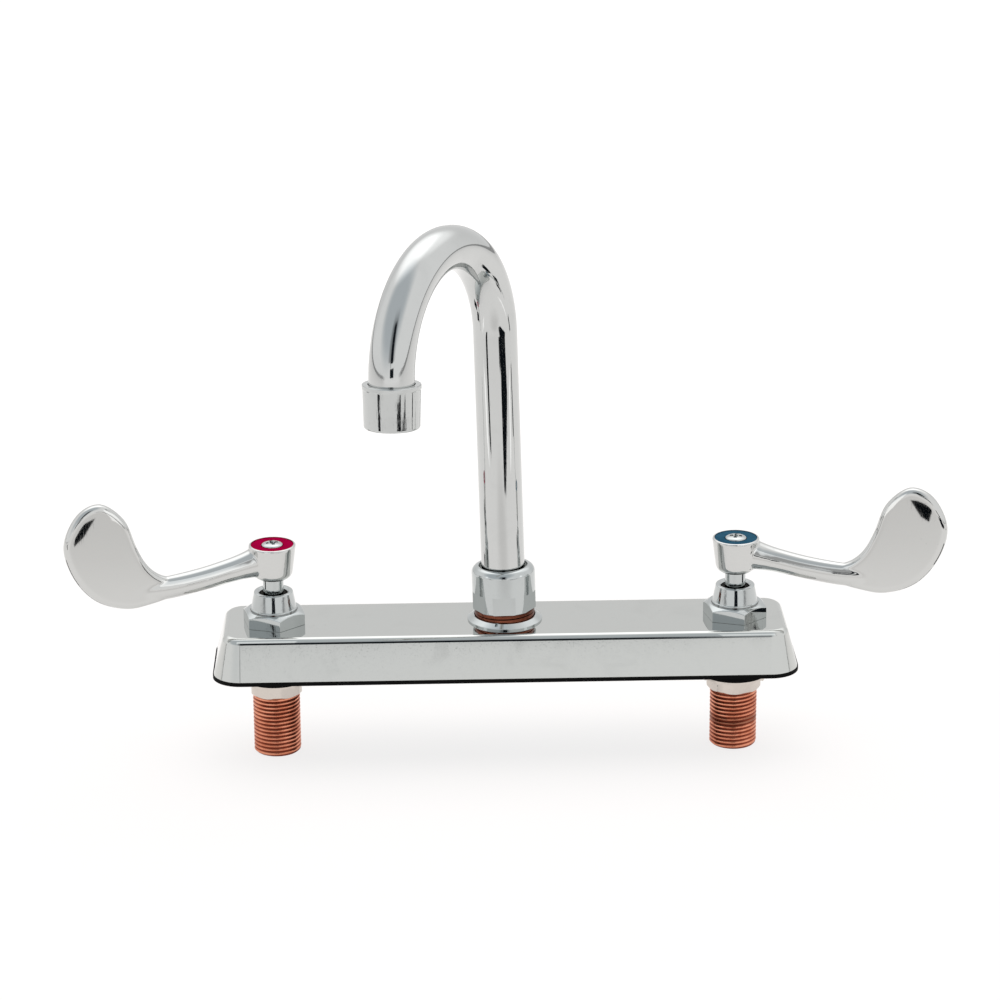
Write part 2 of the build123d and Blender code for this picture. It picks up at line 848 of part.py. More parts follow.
    # Bonnet: conical collar whose skirt screws into the neck and holds the cartridge down
    skirt_radius = neck_bore - sliding_gap
    with BuildPart() as bonnet:
        revolve(
            outline(
                section,
                (bonnet_bore, sleeve_neck_base),
                (skirt_radius, sleeve_neck_base),
                (skirt_radius, clamp_nut_top),
                (bonnet_lip_radius, clamp_nut_top),
                (bonnet_lip_radius, clamp_nut_top + bonnet_lip_height),
                (bonnet_base_radius, clamp_nut_top + bonnet_lip_height),
                (bonnet_top_radius, bonnet_top),
                (bonnet_bore, bonnet_top),
            ),
            axis,
        )
        mouth_edge = bonnet.faces().sort_by(Axis.Z)[-1].edges().sort_by(SortBy.RADIUS)[0]
        chamfer(mouth_edge, bonnet_mouth_chamfer)
        rim_edge = bonnet.faces().sort_by(Axis.Z)[-1].edges().sort_by(SortBy.RADIUS)[-1]
        fillet(rim_edge, bonnet_top_round)
    bonnet.part.label = f"{name}_bonnet"
    export_step(bonnet.part, f"parts/{name}_bonnet.step")

    # Cartridge sleeve: holds the two discs and guides the stem
    with BuildPart() as cartridge_sleeve:
        revolve(
            outline(
                section,
                (sleeve_inner, chamber_floor + seat_gap),
                (sleeve_outer, chamber_floor + seat_gap),
                (sleeve_outer, neck_shoulder),
                (skirt_radius, neck_shoulder),
                (skirt_radius, sleeve_neck_base),
                (sleeve_neck_radius, sleeve_neck_base),
                (sleeve_neck_radius, sleeve_top),
                (stem_radius + running_gap, sleeve_top),
                (stem_radius + running_gap, stem_foot_top + running_gap),
                (sleeve_inner, stem_foot_top + running_gap),
            ),
            axis,
        )
        for middle in stem_ring_heights:
            revolve(ring_groove(section, stem_radius, middle), axis, mode=Mode.SUBTRACT)
        window_height = moving_disc_base + moving_disc_height / 2
        window = Plane(origin=(x, 0, window_height), x_dir=(0, 1, 0), z_dir=(1, 0, 0))
        extrude(
            disc(window, window_radius), amount=chamber_radius, both=True, mode=Mode.SUBTRACT
        )
    cartridge_sleeve.part.label = f"{name}_cartridge_sleeve"
    export_step(cartridge_sleeve.part, f"parts/{name}_cartridge_sleeve.step")

    # Rubber rings between the stem and the sleeve
    with BuildPart() as stem_o_rings:
        for middle in stem_ring_heights:
            revolve(ring_cord(section, stem_radius, middle), axis)
    stem_o_rings.part.label = f"{name}_stem_o_rings"
    export_step(stem_o_rings.part, f"parts/{name}_stem_o_rings.step")

    # Seat seal: rubber ring between the chamber floor and the fixed disc
    with BuildPart() as seat_seal:
        revolve(
            ring_outline(
                section, disc_radius - seal_width, disc_radius, chamber_floor, fixed_disc_base
            ),
            axis,
        )
    seat_seal.part.label = f"{name}_seat_seal"
    export_step(seat_seal.part, f"parts/{name}_seat_seal.step")

    # Fixed ceramic disc with two ports
    with BuildPart() as fixed_disc:
        extrude(disc(level.offset(fixed_disc_base), disc_radius), amount=fixed_disc_height)
        with BuildSketch(level.offset(fixed_disc_base)):
            with GridLocations(2 * disc_port_offset, 0, 2, 1):
                Circle(disc_port_radius)
        extrude(amount=fixed_disc_height, mode=Mode.SUBTRACT)
    fixed_disc.part.label = f"{name}_fixed_disc"
    export_step(fixed_disc.part, f"parts/{name}_fixed_disc.step")

    # Moving ceramic disc: ports across those of the fixed disc, slot for the stem's tongue
    with BuildPart() as moving_disc:
        extrude(
            disc(level.offset(moving_disc_base + sliding_gap), disc_radius),
            amount=moving_disc_height - sliding_gap,
        )
        with BuildSketch(level.offset(moving_disc_base)):
            with GridLocations(0, 2 * disc_port_offset, 1, 2):
                Circle(disc_port_radius)
        extrude(amount=moving_disc_height, mode=Mode.SUBTRACT)
        with BuildSketch(level.offset(stem_base)):
            Rectangle(tongue_length + 2 * sliding_gap, tongue_width + 2 * sliding_gap)
        extrude(amount=-tongue_depth - sliding_gap, mode=Mode.SUBTRACT)
    moving_disc.part.label = f"{name}_moving_disc"
    export_step(moving_disc.part, f"parts/{name}_moving_disc.step")

    # Stem: foot with a tongue, round shaft, square end for the handle, tapped for the screw
    square_plane = Plane(origin=(x, 0, stem_shoulder), x_dir=handle_dir, z_dir=(0, 0, 1))
    square_length = square_top - stem_shoulder
    with BuildPart() as stem:
        revolve(
            outline(
                section,
                (0, stem_base),
                (stem_foot_radius, stem_base),
                (stem_foot_radius, stem_foot_top),
                (stem_radius, stem_foot_top),
                (stem_radius, stem_shoulder),
                (0, stem_shoulder),
            ),
            axis,
        )
        with BuildSketch(level.offset(stem_base)):
            Rectangle(tongue_length, tongue_width)
        extrude(amount=-tongue_depth)
        with BuildSketch(square_plane):
            Rectangle(square_size, square_size)
        extrude(amount=square_length)
        extrude(
            disc(level.offset(screw_tip - screw_tip_gap), screw_radius + sliding_gap),
            amount=square_top - screw_tip + screw_tip_gap,
            mode=Mode.SUBTRACT,
        )
    stem.part.label = f"{name}_stem"
    export_step(stem.part, f"parts/{name}_stem.step")

    # Handle: tapering hub, round arm and flat blade with a rounded edge, in one casting
    handle_plane = Plane(
        origin=(x, 0, hub_bottom), x_dir=handle_dir, z_dir=handle_dir.cross(Vector(0, 0, 1))
    )
    with BuildPart() as handle:
        with BuildSketch(handle_plane):
            with BuildLine():
                Spline(*blade_outline)
                Line(blade_outline[-1], blade_outline[0])
            make_face()
        extrude(amount=blade_thickness / 2, both=True)
        fillet(handle.edges().filter_by(GeomType.BSPLINE), blade_edge_round)
        for distance, height, half_height, half_width in arm_stations:
            middle = Vector(x, 0, hub_bottom + height) + handle_dir * distance
            with BuildSketch(Plane(origin=middle, x_dir=(0, 0, 1), z_dir=handle_dir)):
                Ellipse(half_height, half_width)
        loft()
        revolve(hub_outline(section), axis)
        extrude(
            disc(level.offset(hub_bottom), stem_radius + sliding_gap),
            amount=stem_insertion,
            mode=Mode.SUBTRACT,
        )
        with BuildSketch(square_plane):
            Rectangle(square_size + 2 * sliding_gap, square_size + 2 * sliding_gap)
        extrude(amount=square_length + seat_gap, mode=Mode.SUBTRACT)
        extrude(
            disc(level.offset(stem_shoulder), screw_radius + seat_gap),
            amount=index_floor - stem_shoulder,
            mode=Mode.SUBTRACT,
        )
        extrude(
            disc(level.offset(index_floor), index_radius),
            amount=hub_recess_depth,
            mode=Mode.SUBTRACT,
        )
    handle.part.label = f"{name}_handle"
    export_step(handle.part, f"parts/{name}_handle.step")

    # Index ring: coloured plastic in the hub's recess
    with BuildPart() as index_ring:
        revolve(
            ring_outline(
                section,
                screw_head_radius + index_hole_gap,
                index_radius - sliding_gap,
                index_floor,
                index_floor + index_thickness,
            ),
            axis,
        )
    index_ring.part.label = f"{name}_index_ring"
    export_step(index_ring.part, f"parts/{name}_index_ring.step")

    # Handle screw: domed head with a cross recess
    dome_base = index_floor + screw_head_side
    dome_top = dome_base + screw_head_dome
    dome_sphere = (screw_head_radius**2 + screw_head_dome**2) / (2 * screw_head_dome)
    with BuildPart() as handle_screw:
        with BuildSketch(section):
            with BuildLine():
                RadiusArc((0, dome_top), (screw_head_radius, dome_base), dome_sphere)
                Polyline(
                    (screw_head_radius, dome_base),
                    (screw_head_radius, index_floor),
                    (screw_radius, index_floor),
                    (screw_radius, screw_tip),
                    (0, screw_tip),
                    (0, dome_top),
                )
            make_face()
        revolve(axis=axis)
        with BuildSketch(level.offset(dome_top)):
            Rectangle(cross_length, cross_width)
            Rectangle(cross_width, cross_length)
        extrude(amount=-cross_depth, mode=Mode.SUBTRACT)
        revolve(
            outline(
                section,
                (0, dome_top),
                (cross_point_radius, dome_top),
                (0, dome_top - cross_point_depth),
            ),
            axis,
            mode=Mode.SUBTRACT,
        )
    handle_screw.part.label = f"{name}_handle_screw"
    export_step(handle_screw.part, f"parts/{name}_handle_screw.step")
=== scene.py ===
import bpy
import math
from mathutils import Matrix, Vector


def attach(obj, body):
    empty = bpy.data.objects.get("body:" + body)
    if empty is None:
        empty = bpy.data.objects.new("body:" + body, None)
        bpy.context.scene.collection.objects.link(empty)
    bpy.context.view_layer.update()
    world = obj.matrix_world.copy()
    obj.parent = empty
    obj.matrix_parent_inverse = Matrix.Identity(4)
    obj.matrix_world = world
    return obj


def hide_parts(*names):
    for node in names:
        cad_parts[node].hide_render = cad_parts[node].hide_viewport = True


# Lengths in the size lists are millimetres; mm turns them into metres.
mm = 0.001
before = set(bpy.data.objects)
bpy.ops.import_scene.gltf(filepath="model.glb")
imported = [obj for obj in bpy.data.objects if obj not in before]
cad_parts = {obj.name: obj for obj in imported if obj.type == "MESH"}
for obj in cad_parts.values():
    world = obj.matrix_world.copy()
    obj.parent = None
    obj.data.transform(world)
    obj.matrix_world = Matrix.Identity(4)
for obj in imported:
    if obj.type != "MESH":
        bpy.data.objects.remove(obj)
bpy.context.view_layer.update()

# Points closer than this, in metres, are one point
weld = 0.0005 * mm

valve_x = {"hot": -101.6, "cold": 101.6}
handle_turn = {"hot": 197.0, "cold": -12.0}
handle_body = {"hot": "hot_handle_assembly", "cold": "cold_handle_assembly"}

# The spout post leans a little, and its heights are counted along it from the deck
plate_top = 19.9
lean_axis = Vector(
    (-math.sin(math.radians(1.45)), math.sin(math.radians(1.65)), 1.0)
).normalized()
post_origin = Vector((0, 0, plate_top)) - lean_axis * plate_top
spout_heading = math.radians(28.2)
heading = Vector((-math.sin(spout_heading), -math.cos(spout_heading), 0))
reach_dir = (heading - lean_axis * heading.dot(lean_axis)).normalized()
side_dir = lean_axis.cross(reach_dir)
post_frame = Matrix.Translation(post_origin * mm) @ Matrix(
    (reach_dir, side_dir, lean_axis)
).transposed().to_4x4()


# Hand tools

def bare_start():
    """Leave edit mode and drop every selection."""
    if bpy.context.object and bpy.context.object.mode != "OBJECT":
        bpy.ops.object.mode_set(mode="OBJECT")
    bpy.ops.object.select_all(action="DESELECT")


def pick(piece, *others):
    """Select pieces, the first one active."""
    bare_start()
    for other in others:
        other.select_set(True)
    piece.select_set(True)
    bpy.context.view_layer.objects.active = piece


def choose_all():
    bpy.ops.mesh.select_all(action="SELECT")


def edit(piece, kind="VERT"):
    """Enter edit mode with all points, edges or faces of a piece selected."""
    pick(piece)
    bpy.ops.object.mode_set(mode="EDIT")
    bpy.ops.mesh.select_mode(type=kind)
    choose_all()


def done():
    bpy.ops.object.mode_set(mode="OBJECT")


def pull(step):
    """In edit mode, extrude the selection by a step in metres."""
    bpy.ops.mesh.extrude_region_move(TRANSFORM_OT_translate={"value": step})


def start_point(name, place):
    """A new piece in edit mode that is a single selected point, at a place in metres."""
    bare_start()
    bpy.ops.mesh.primitive_plane_add(size=mm, location=place)
    piece = bpy.context.object
    piece.name = name
    bpy.ops.object.transform_apply(location=True)
    edit(piece)
    bpy.ops.mesh.merge(type="CENTER")
    return piece


def choose_edges(piece, test):
    """In edit mode, select the edges whose two ends pass a test."""
    bpy.ops.mesh.select_mode(type="EDGE")
    bpy.ops.mesh.select_all(action="DESELECT")
    done()
    points = piece.data.vertices
    for line in piece.data.edges:
        line.select = bool(test(points[line.vertices[0]].co, points[line.vertices[1]].co))
    bpy.ops.object.mode_set(mode="EDIT")


def close_shell():
    """In edit mode, merge the doubles and turn every face outwards."""
    choose_all()
    bpy.ops.mesh.remove_doubles(threshold=weld)
    bpy.ops.mesh.normals_make_consistent(inside=False)


def modify(piece, kind, **settings):
    """Add a modifier and apply it."""
    pick(piece)
    bpy.ops.object.modifier_add(type=kind)
    modifier = piece.modifiers[-1]
    for key, value in settings.items():
        setattr(modifier, key, value)
    bpy.ops.object.modifier_apply(modifier=modifier.name)


def cut(piece, tool, how="DIFFERENCE"):
    """Cut a piece with a tool, or keep only what both hold; the tool is used up."""
    modify(piece, "BOOLEAN", object=tool, operation=how, solver="EXACT")
    bpy.data.objects.remove(tool)


def soften(piece, width, segments=2, angle=32.0):
    """Break the sharp edges with a small round."""
    modify(
        piece, "BEVEL", width=width * mm, segments=segments, limit_method="ANGLE",
        angle_limit=math.radians(angle), use_clamp_overlap=True, miter_outer="MITER_ARC",
    )


def smooth(piece, angle=35.0):
    pick(piece)
    bpy.ops.object.shade_smooth_by_angle(angle=math.radians(angle))


def crisp(piece, angle=35.0):
    """Smooth shading that leaves flats and cones even right up to their rounded edges."""
    pick(piece)
    bpy.ops.mesh.customdata_custom_splitnormals_clear()
    smooth(piece, angle)
    modify(piece, "WEIGHTED_NORMAL", keep_sharp=True, mode="FACE_AREA", weight=50)


def settle(piece, place):
    """Put a piece made at the origin in its place, and leave the place in its mesh."""
    pick(piece)
    piece.matrix_world = place
    bpy.ops.object.transform_apply(location=True, rotation=True, scale=True)


def copy_of(piece, name):
    twin = piece.copy()
    twin.data = piece.data.copy()
    twin.name = name
    bpy.context.scene.collection.objects.link(twin)
    return twin


def coat(piece, material):
    """Give a piece this material alone."""
    piece.data.materials.clear()
    piece.data.materials.append(material)


def hand_over(piece, body, slot, material, *nodes):
    """The finished piece rides on its body, stands for its nodes and gets its finish."""
    coat(piece, material)
    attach(piece, body)
    if nodes:
        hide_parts(*nodes)


def rounded(points):
    """Profile points (radius, height[, round]) with each marked corner turned into an arc."""
    out = []
    count = len(points)
    for index, point in enumerate(points):
        here = Vector(point[:2])
        if len(point) < 3 or not point[2]:
            out.append(here)
            continue
        before = (Vector(points[index - 1][:2]) - here).normalized()
        after = (Vector(points[(index + 1) % count][:2]) - here).normalized()
        half = before.angle(after) / 2
        reach = point[2] / math.tan(half)
        middle = here + (before + after).normalized() * (point[2] / math.sin(half))
        start = here + before * reach - middle
        end = here + after * reach - middle
        steps = max(3, int(start.angle(end) / math.radians(12)))
        for step in range(steps + 1):
            blend = step / steps
            spoke = (start * (1 - blend) + end * blend).normalized() * point[2]
            out.append(middle + spoke)
    return out


def turned(name, profile, steps=96, closed=True):
    """Lathe work: a point pulled along the profile, then spun about the upright axis."""
    points = rounded(profile)
    first = points[0]
    piece = start_point(name, (first.x * mm, 0, first.y * mm))
    here = first
    for point in points[1:] + ([first] if closed else []):
        step = point - here
        pull((step.x * mm, 0, step.y * mm))
        here = point
    choose_all()
    bpy.ops.mesh.remove_doubles(threshold=weld)
    choose_all()
    bpy.ops.mesh.spin(steps=steps, angle=2 * math.pi, center=(0, 0, 0), axis=(0, 0, 1))
    close_shell()
    done()
    smooth(piece)
    return piece


def prism(name, sides, apothem, low, high, turn=0.0):
    """Upright prism whose flat faces the angle turn, counted from +X."""
    bare_start()
    bpy.ops.mesh.primitive_cylinder_add(
        vertices=sides, radius=apothem / math.cos(math.pi / sides) * mm,
        depth=(high - low) * mm, location=(0, 0, (low + high) / 2 * mm),
    )
    piece = bpy.context.object
    piece.name = name
    # the cylinder's first corner lies on +Y, so a flat lies half a side from it
    spin = Matrix.Rotation(math.radians(turn - 90) + math.pi / sides, 4, "Z")
    settle(piece, spin @ piece.matrix_world)
    return piece


def block(size, place):
    """A box cutter of that size, its middle put in its place."""
    bare_start()
    bpy.ops.mesh.primitive_cube_add(size=1)
    cutter = bpy.context.object
    settle(cutter, place @ Matrix.Diagonal((*(side * mm for side in size), 1)))
    return cutter


def clean_copy(name, node):
    """A CAD node's own shape with its triangles merged into faces."""
    piece = copy_of(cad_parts[node], name)
    piece.parent = None
    piece.matrix_world = Matrix.Identity(4)
    for key in [key for key in piece.keys() if key.startswith("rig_")]:
        del piece[key]
    edit(piece)
    close_shell()
    bpy.ops.mesh.dissolve_limited(angle_limit=math.radians(1.0))
    done()
    pick(piece)
    bpy.ops.mesh.customdata_custom_splitnormals_clear()
    return piece


# Finishes

def new_group(name, inputs, outputs):
    """An empty node group with named sockets: (name, kind, value)."""
    group = bpy.data.node_groups.new(name, "ShaderNodeTree")
    for socket_name, kind, value in inputs:
        socket = group.interface.new_socket(socket_name, in_out="INPUT", socket_type=kind)
        if value is not None:
            socket.default_value = value
    for socket_name, kind in outputs:
        group.interface.new_socket(socket_name, in_out="OUTPUT", socket_type=kind)
    return group, group.nodes.new("NodeGroupInput"), group.nodes.new("NodeGroupOutput")


def add(tree, kind, **values):
    """A node with its settings and its unlinked socket values."""
    node = tree.nodes.new(kind)
    for key, value in values.items():
        if hasattr(node, key) and key not in node.inputs:
            setattr(node, key, value)
        else:
            node.inputs[key.replace("_", " ")].default_value = value
    return node


def wire(tree, source, target):
    tree.links.new(source, target)


def maths(tree, operation, first, second=None):
    """A sum of sockets or numbers."""
    node = add(tree, "ShaderNodeMath", operation=operation)
    for socket, value in zip(node.inputs, (first, second)):
        if value is None:
            continue
        if isinstance(value, (int, float)):
            socket.default_value = value
        else:
            wire(tree, value, socket)
    return node.outputs[0]


def vector_maths(tree, operation, first, second=None):
    """A sum of vectors; it gives both results, the vector and the number."""
    node = add(tree, "ShaderNodeVectorMath", operation=operation)
    wire(tree, first, node.inputs[0])
    if second is not None:
        node.inputs[1].default_value = second
    return node.outputs[0], node.outputs[1]


def axes(tree, where):
    """The X, Y and Z of a place, as three sockets."""
    node = tree.nodes.new("ShaderNodeSeparateXYZ")
    wire(tree, where, node.inputs[0])
    return node.outputs["X"], node.outputs["Y"], node.outputs["Z"]


def ray_kinds(tree):
    """Two masks: 1 for what the chrome mirrors, and 1 for what the camera itself sees."""
    rays = tree.nodes.new("ShaderNodeLightPath")
    return rays.outputs["Is Glossy Ray"], rays.outputs["Is Camera Ray"]


def ranged(tree, value, low, high, to_low=0.0, to_high=1.0):
    """Smooth step of a value from one range to another."""
    node = add(
        tree, "ShaderNodeMapRange", interpolation_type="SMOOTHSTEP",
        From_Min=low, From_Max=high, To_Min=to_low, To_Max=to_high,
    )
    wire(tree, value, node.inputs["Value"])
    return node.outputs[0]


def between_edges(tree, value, low, high, edge):
    """A mask that is 1 between low and high and falls softly over the edge width."""
    rising = ranged(tree, value, low, low + edge)
    falling = ranged(tree, value, high - edge, high, 1.0, 0.0)
    return maths(tree, "MULTIPLY", rising, falling)


def noise(tree, where, scale, detail=3.0, roughness=0.5, distortion=0.0):
    node = add(
        tree, "ShaderNodeTexNoise", Scale=scale, Detail=detail, Roughness=roughness,
        Distortion=distortion,
    )
    wire(tree, where, node.inputs["Vector"])
    return node.outputs["Fac"]


def stretched(tree, where, turn, scale):
    node = add(tree, "ShaderNodeMapping", Rotation=turn, Scale=scale)
    wire(tree, where, node.inputs["Vector"])
    return node.outputs[0]


def mixed(tree, mask, first, second):
    """Colour mix; first and second are colours or sockets."""
    node = add(tree, "ShaderNodeMix", data_type="RGBA")
    wire(tree, mask, node.inputs["Factor"])
    for socket, value in ((node.inputs[6], first), (node.inputs[7], second)):
        if isinstance(value, tuple):
            socket.default_value = (*value, 1.0)
        else:
            wire(tree, value, socket)
    return node.outputs[2]


def make_smudge_group():
    """Soft finger marks and dried water spots: a mask from 0, clean, to 1."""
    group, given, out = new_group(
        "smudges", [("Where", "NodeSocketVector", None)], [("Mask", "NodeSocketFloat")]
    )
    broad = ranged(group, noise(group, given.outputs["Where"], 55, 4, 0.55, 0.6), 0.52, 0.72)
    spots = ranged(group, noise(group, given.outputs["Where"], 420, 2, 0.5), 0.60, 0.72)
    faint_spots = maths(group, "MULTIPLY", spots, 0.45)
    wire(group, maths(group, "MAXIMUM", broad, faint_spots), out.inputs["Mask"])
    return group


def make_scratch_group():
    """Hairline scratches in three directions, broken into short strokes."""
    group, given, out = new_group(
        "hairlines",
        [("Where", "NodeSocketVector", None), ("Amount", "NodeSocketFloat", 0.5)],
        [("Mask", "NodeSocketFloat")],
    )
    layers = None
    for turn in ((0.3, 0.5, 0.2), (1.1, -0.4, 0.9), (-0.5, 0.9, 1.7)):
        along = stretched(group, given.outputs["Where"], turn, (2600, 2600, 60))
        strokes = ranged(group, noise(group, along, 1.0, 1, 0.4), 0.68, 0.76)
        layers = strokes if layers is None else maths(group, "MAXIMUM", layers, strokes)
    wire(group, maths(group, "MULTIPLY", layers, given.outputs["Amount"]), out.inputs["Mask"])
    return group


def make_ripple_group():
    """Slow waves of a polished casting or of drawn sheet: a height from 0 to 1."""
    group, given, out = new_group(
        "polished_ripple",
        [("Where", "NodeSocketVector", None), ("Size", "NodeSocketFloat", 90.0)],
        [("Height", "NodeSocketFloat")],
    )
    node = add(group, "ShaderNodeTexNoise", Detail=1.5, Roughness=0.4)
    wire(group, given.outputs["Where"], node.inputs["Vector"])
    wire(group, given.outputs["Size"], node.inputs["Scale"])
    wire(group, node.outputs["Fac"], out.inputs["Height"])
    return group


def make_pit_group():
    """Small dings and casting pits: a mask from 0 to 1."""
    group, given, out = new_group(
        "pits",
        [("Where", "NodeSocketVector", None), ("Amount", "NodeSocketFloat", 0.5)],
        [("Mask", "NodeSocketFloat")],
    )
    cells = add(group, "ShaderNodeTexVoronoi", Scale=260.0, Randomness=1.0)
    wire(group, given.outputs["Where"], cells.inputs["Vector"])
    dots = ranged(group, cells.outputs["Distance"], 0.10, 0.16, 1.0, 0.0)
    rare = ranged(group, noise(group, given.outputs["Where"], 70, 2, 0.5), 0.60, 0.68)
    both = maths(group, "MULTIPLY", dots, rare)
    wire(group, maths(group, "MULTIPLY", both, given.outputs["Amount"]), out.inputs["Mask"])
    return group


smudges = make_smudge_group()
hairlines = make_scratch_group()
polished_ripple = make_ripple_group()
pits = make_pit_group()


def new_finish(name):
    """A material with its Principled shader; returns the material, its tree, shader and place."""
    material = bpy.data.materials.new(name)
    material.use_nodes = True
    tree = material.node_tree
    shader = tree.nodes["Principled BSDF"]
    where = tree.nodes.new("ShaderNodeTexCoord").outputs["Object"]
    return material, tree, shader, where


def use(tree, group, where, **values):
    node = add(tree, "ShaderNodeGroup", node_tree=group)
    wire(tree, where, node.inputs["Where"])
    for key, value in values.items():
        node.inputs[key].default_value = value
    return node.outputs[0]


def bumped(tree, shader, height, distance):
    """A Bump node of that real depth in metres, added onto the shader's normal."""
    node = add(tree, "ShaderNodeBump", Strength=1.0, Distance=distance)
    wire(tree, height, node.inputs["Height"])
    link = shader.inputs["Normal"].links
    if link:
        wire(tree, link[0].from_socket, node.inputs["Normal"])
    wire(tree, node.outputs["Normal"], shader.inputs["Normal"])


def chrome(name, shade, ripple_size, ripple_depth, scratch, pit, marks):
    """Polished chrome plate: grey mirror, faint waves, finger marks, hairlines and dings."""
    stain, ding_colour, scar_depth = 0.90, (0.22, 0.22, 0.21), 0.000010
    clean_roughness, worn_roughness = 0.045, 0.14
    material, tree, shader, where = new_finish(name)
    shader.inputs["Metallic"].default_value = 1.0
    marks_mask = maths(tree, "MULTIPLY", use(tree, smudges, where), marks)
    lines = use(tree, hairlines, where, Amount=scratch)
    dings = use(tree, pits, where, Amount=pit)
    worn = maths(tree, "MAXIMUM", marks_mask, maths(tree, "MAXIMUM", lines, dings))
    stained = tuple(channel * stain for channel in shade)
    colour = mixed(tree, marks_mask, shade, stained)
    colour = mixed(tree, dings, colour, ding_colour)
    wire(tree, colour, shader.inputs["Base Color"])
    rough = ranged(tree, worn, 0.0, 1.0, clean_roughness, worn_roughness)
    wire(tree, rough, shader.inputs["Roughness"])
    bumped(tree, shader, use(tree, polished_ripple, where, Size=ripple_size), ripple_depth)
    scars = maths(tree, "SUBTRACT", 1.0, maths(tree, "MAXIMUM", lines, dings))
    bumped(tree, shader, scars, scar_depth)
    return material


def copper(name, shades, axis_x, crest, depth, stained=None):
    """Coppery brass thread round the upright at axis_x: bright worn crests and brown grooves
    darkened towards their bottom by painted shade.

    The crest's radius, the grooves' depth and the stained band of heights are in metres.
    """
    stain, stain_edge, stain_waver = (0.10, 0.035, 0.020), 0.0012, 0.0016
    material, tree, shader, where = new_finish(name)
    shader.inputs["Metallic"].default_value = 1.0
    flat = stretched(tree, where, (0, 0, 0), (1, 1, 0))
    from_axis, _ = vector_maths(tree, "SUBTRACT", flat, (axis_x, 0, 0))
    _, radius = vector_maths(tree, "LENGTH", from_axis)
    groove_shade_mask = ranged(tree, radius, crest - 0.75 * depth, crest, 1.0, 0.0)
    cloud = ranged(tree, noise(tree, where, 130, 4, 0.6, 0.5), 0.35, 0.70)
    grain = noise(tree, where, 1800, 3, 0.6)
    colour = mixed(tree, cloud, shades[0], shades[1])
    if stained:
        _, _, height = axes(tree, where)
        wavy = maths(tree, "ADD", height, maths(tree, "MULTIPLY", cloud, stain_waver))
        band = between_edges(tree, wavy, *stained, stain_edge)
        colour = mixed(tree, maths(tree, "MULTIPLY", band, 0.65), colour, stain)
    # the grooves get darker towards their bottom: painted shade
    colour = mixed(tree, maths(tree, "MULTIPLY", groove_shade_mask, 0.92), colour, shades[2])
    wire(tree, colour, shader.inputs["Base Color"])
    rough_crest = ranged(tree, cloud, 0, 1, 0.17, 0.28)
    rough_groove = maths(tree, "MULTIPLY", groove_shade_mask, 0.25)
    wire(tree, maths(tree, "ADD", rough_crest, rough_groove), shader.inputs["Roughness"])
    bumped(tree, shader, grain, 0.00002)
    return material


def plain_metal(name, colour, dark, roughness):
    """Machined metal that is seldom seen: turning marks and light stains."""
    material, tree, shader, where = new_finish(name)
    shader.inputs["Metallic"].default_value = 1.0
    cloud = ranged(tree, noise(tree, where, 160, 4, 0.6), 0.35, 0.7)
    wire(tree, mixed(tree, cloud, colour, dark), shader.inputs["Base Color"])
    wire(tree, ranged(tree, cloud, 0, 1, roughness, roughness + 0.15), shader.inputs["Roughness"])
    rings = stretched(tree, where, (0, 0, 0), (200, 200, 5200))
    bumped(tree, shader, noise(tree, rings, 1.0, 2, 0.5), 0.00001)
    return material


def moulded(name, colour, shade, roughness, grain_depth, shine=0.5):
    """Moulded plastic, rubber or ceramic: even colour with faint mottling and grain."""
    material, tree, shader, where = new_finish(name)
    cloud = ranged(tree, noise(tree, where, 220, 4, 0.6), 0.3, 0.7)
    dust = maths(tree, "MULTIPLY", ranged(tree, noise(tree, where, 1500, 2, 0.5), 0.62, 0.75), 0.25)
    mottled = mixed(tree, cloud, colour, shade)
    pale = tuple(channel * 0.9 + 0.03 for channel in colour)
    wire(tree, mixed(tree, dust, mottled, pale), shader.inputs["Base Color"])
    wire(tree, ranged(tree, cloud, 0, 1, roughness, roughness + 0.10), shader.inputs["Roughness"])
    shader.inputs["Specular IOR Level"].default_value = shine
    bumped(tree, shader, noise(tree, where, 2600, 3, 0.6), grain_depth)
    return material


# Thread pitch of the shanks and radius of their crests
shank_pitch, shank_crest = 1.814, 10.45
# Colours of a thread's crest, clouded crest and groove; the groove colour is painted shade
fresh_copper = ((0.83, 0.335, 0.205), (0.62, 0.200, 0.110), (0.275, 0.055, 0.028))
brown_copper = ((0.240, 0.078, 0.045), (0.130, 0.038, 0.022), (0.020, 0.006, 0.004))

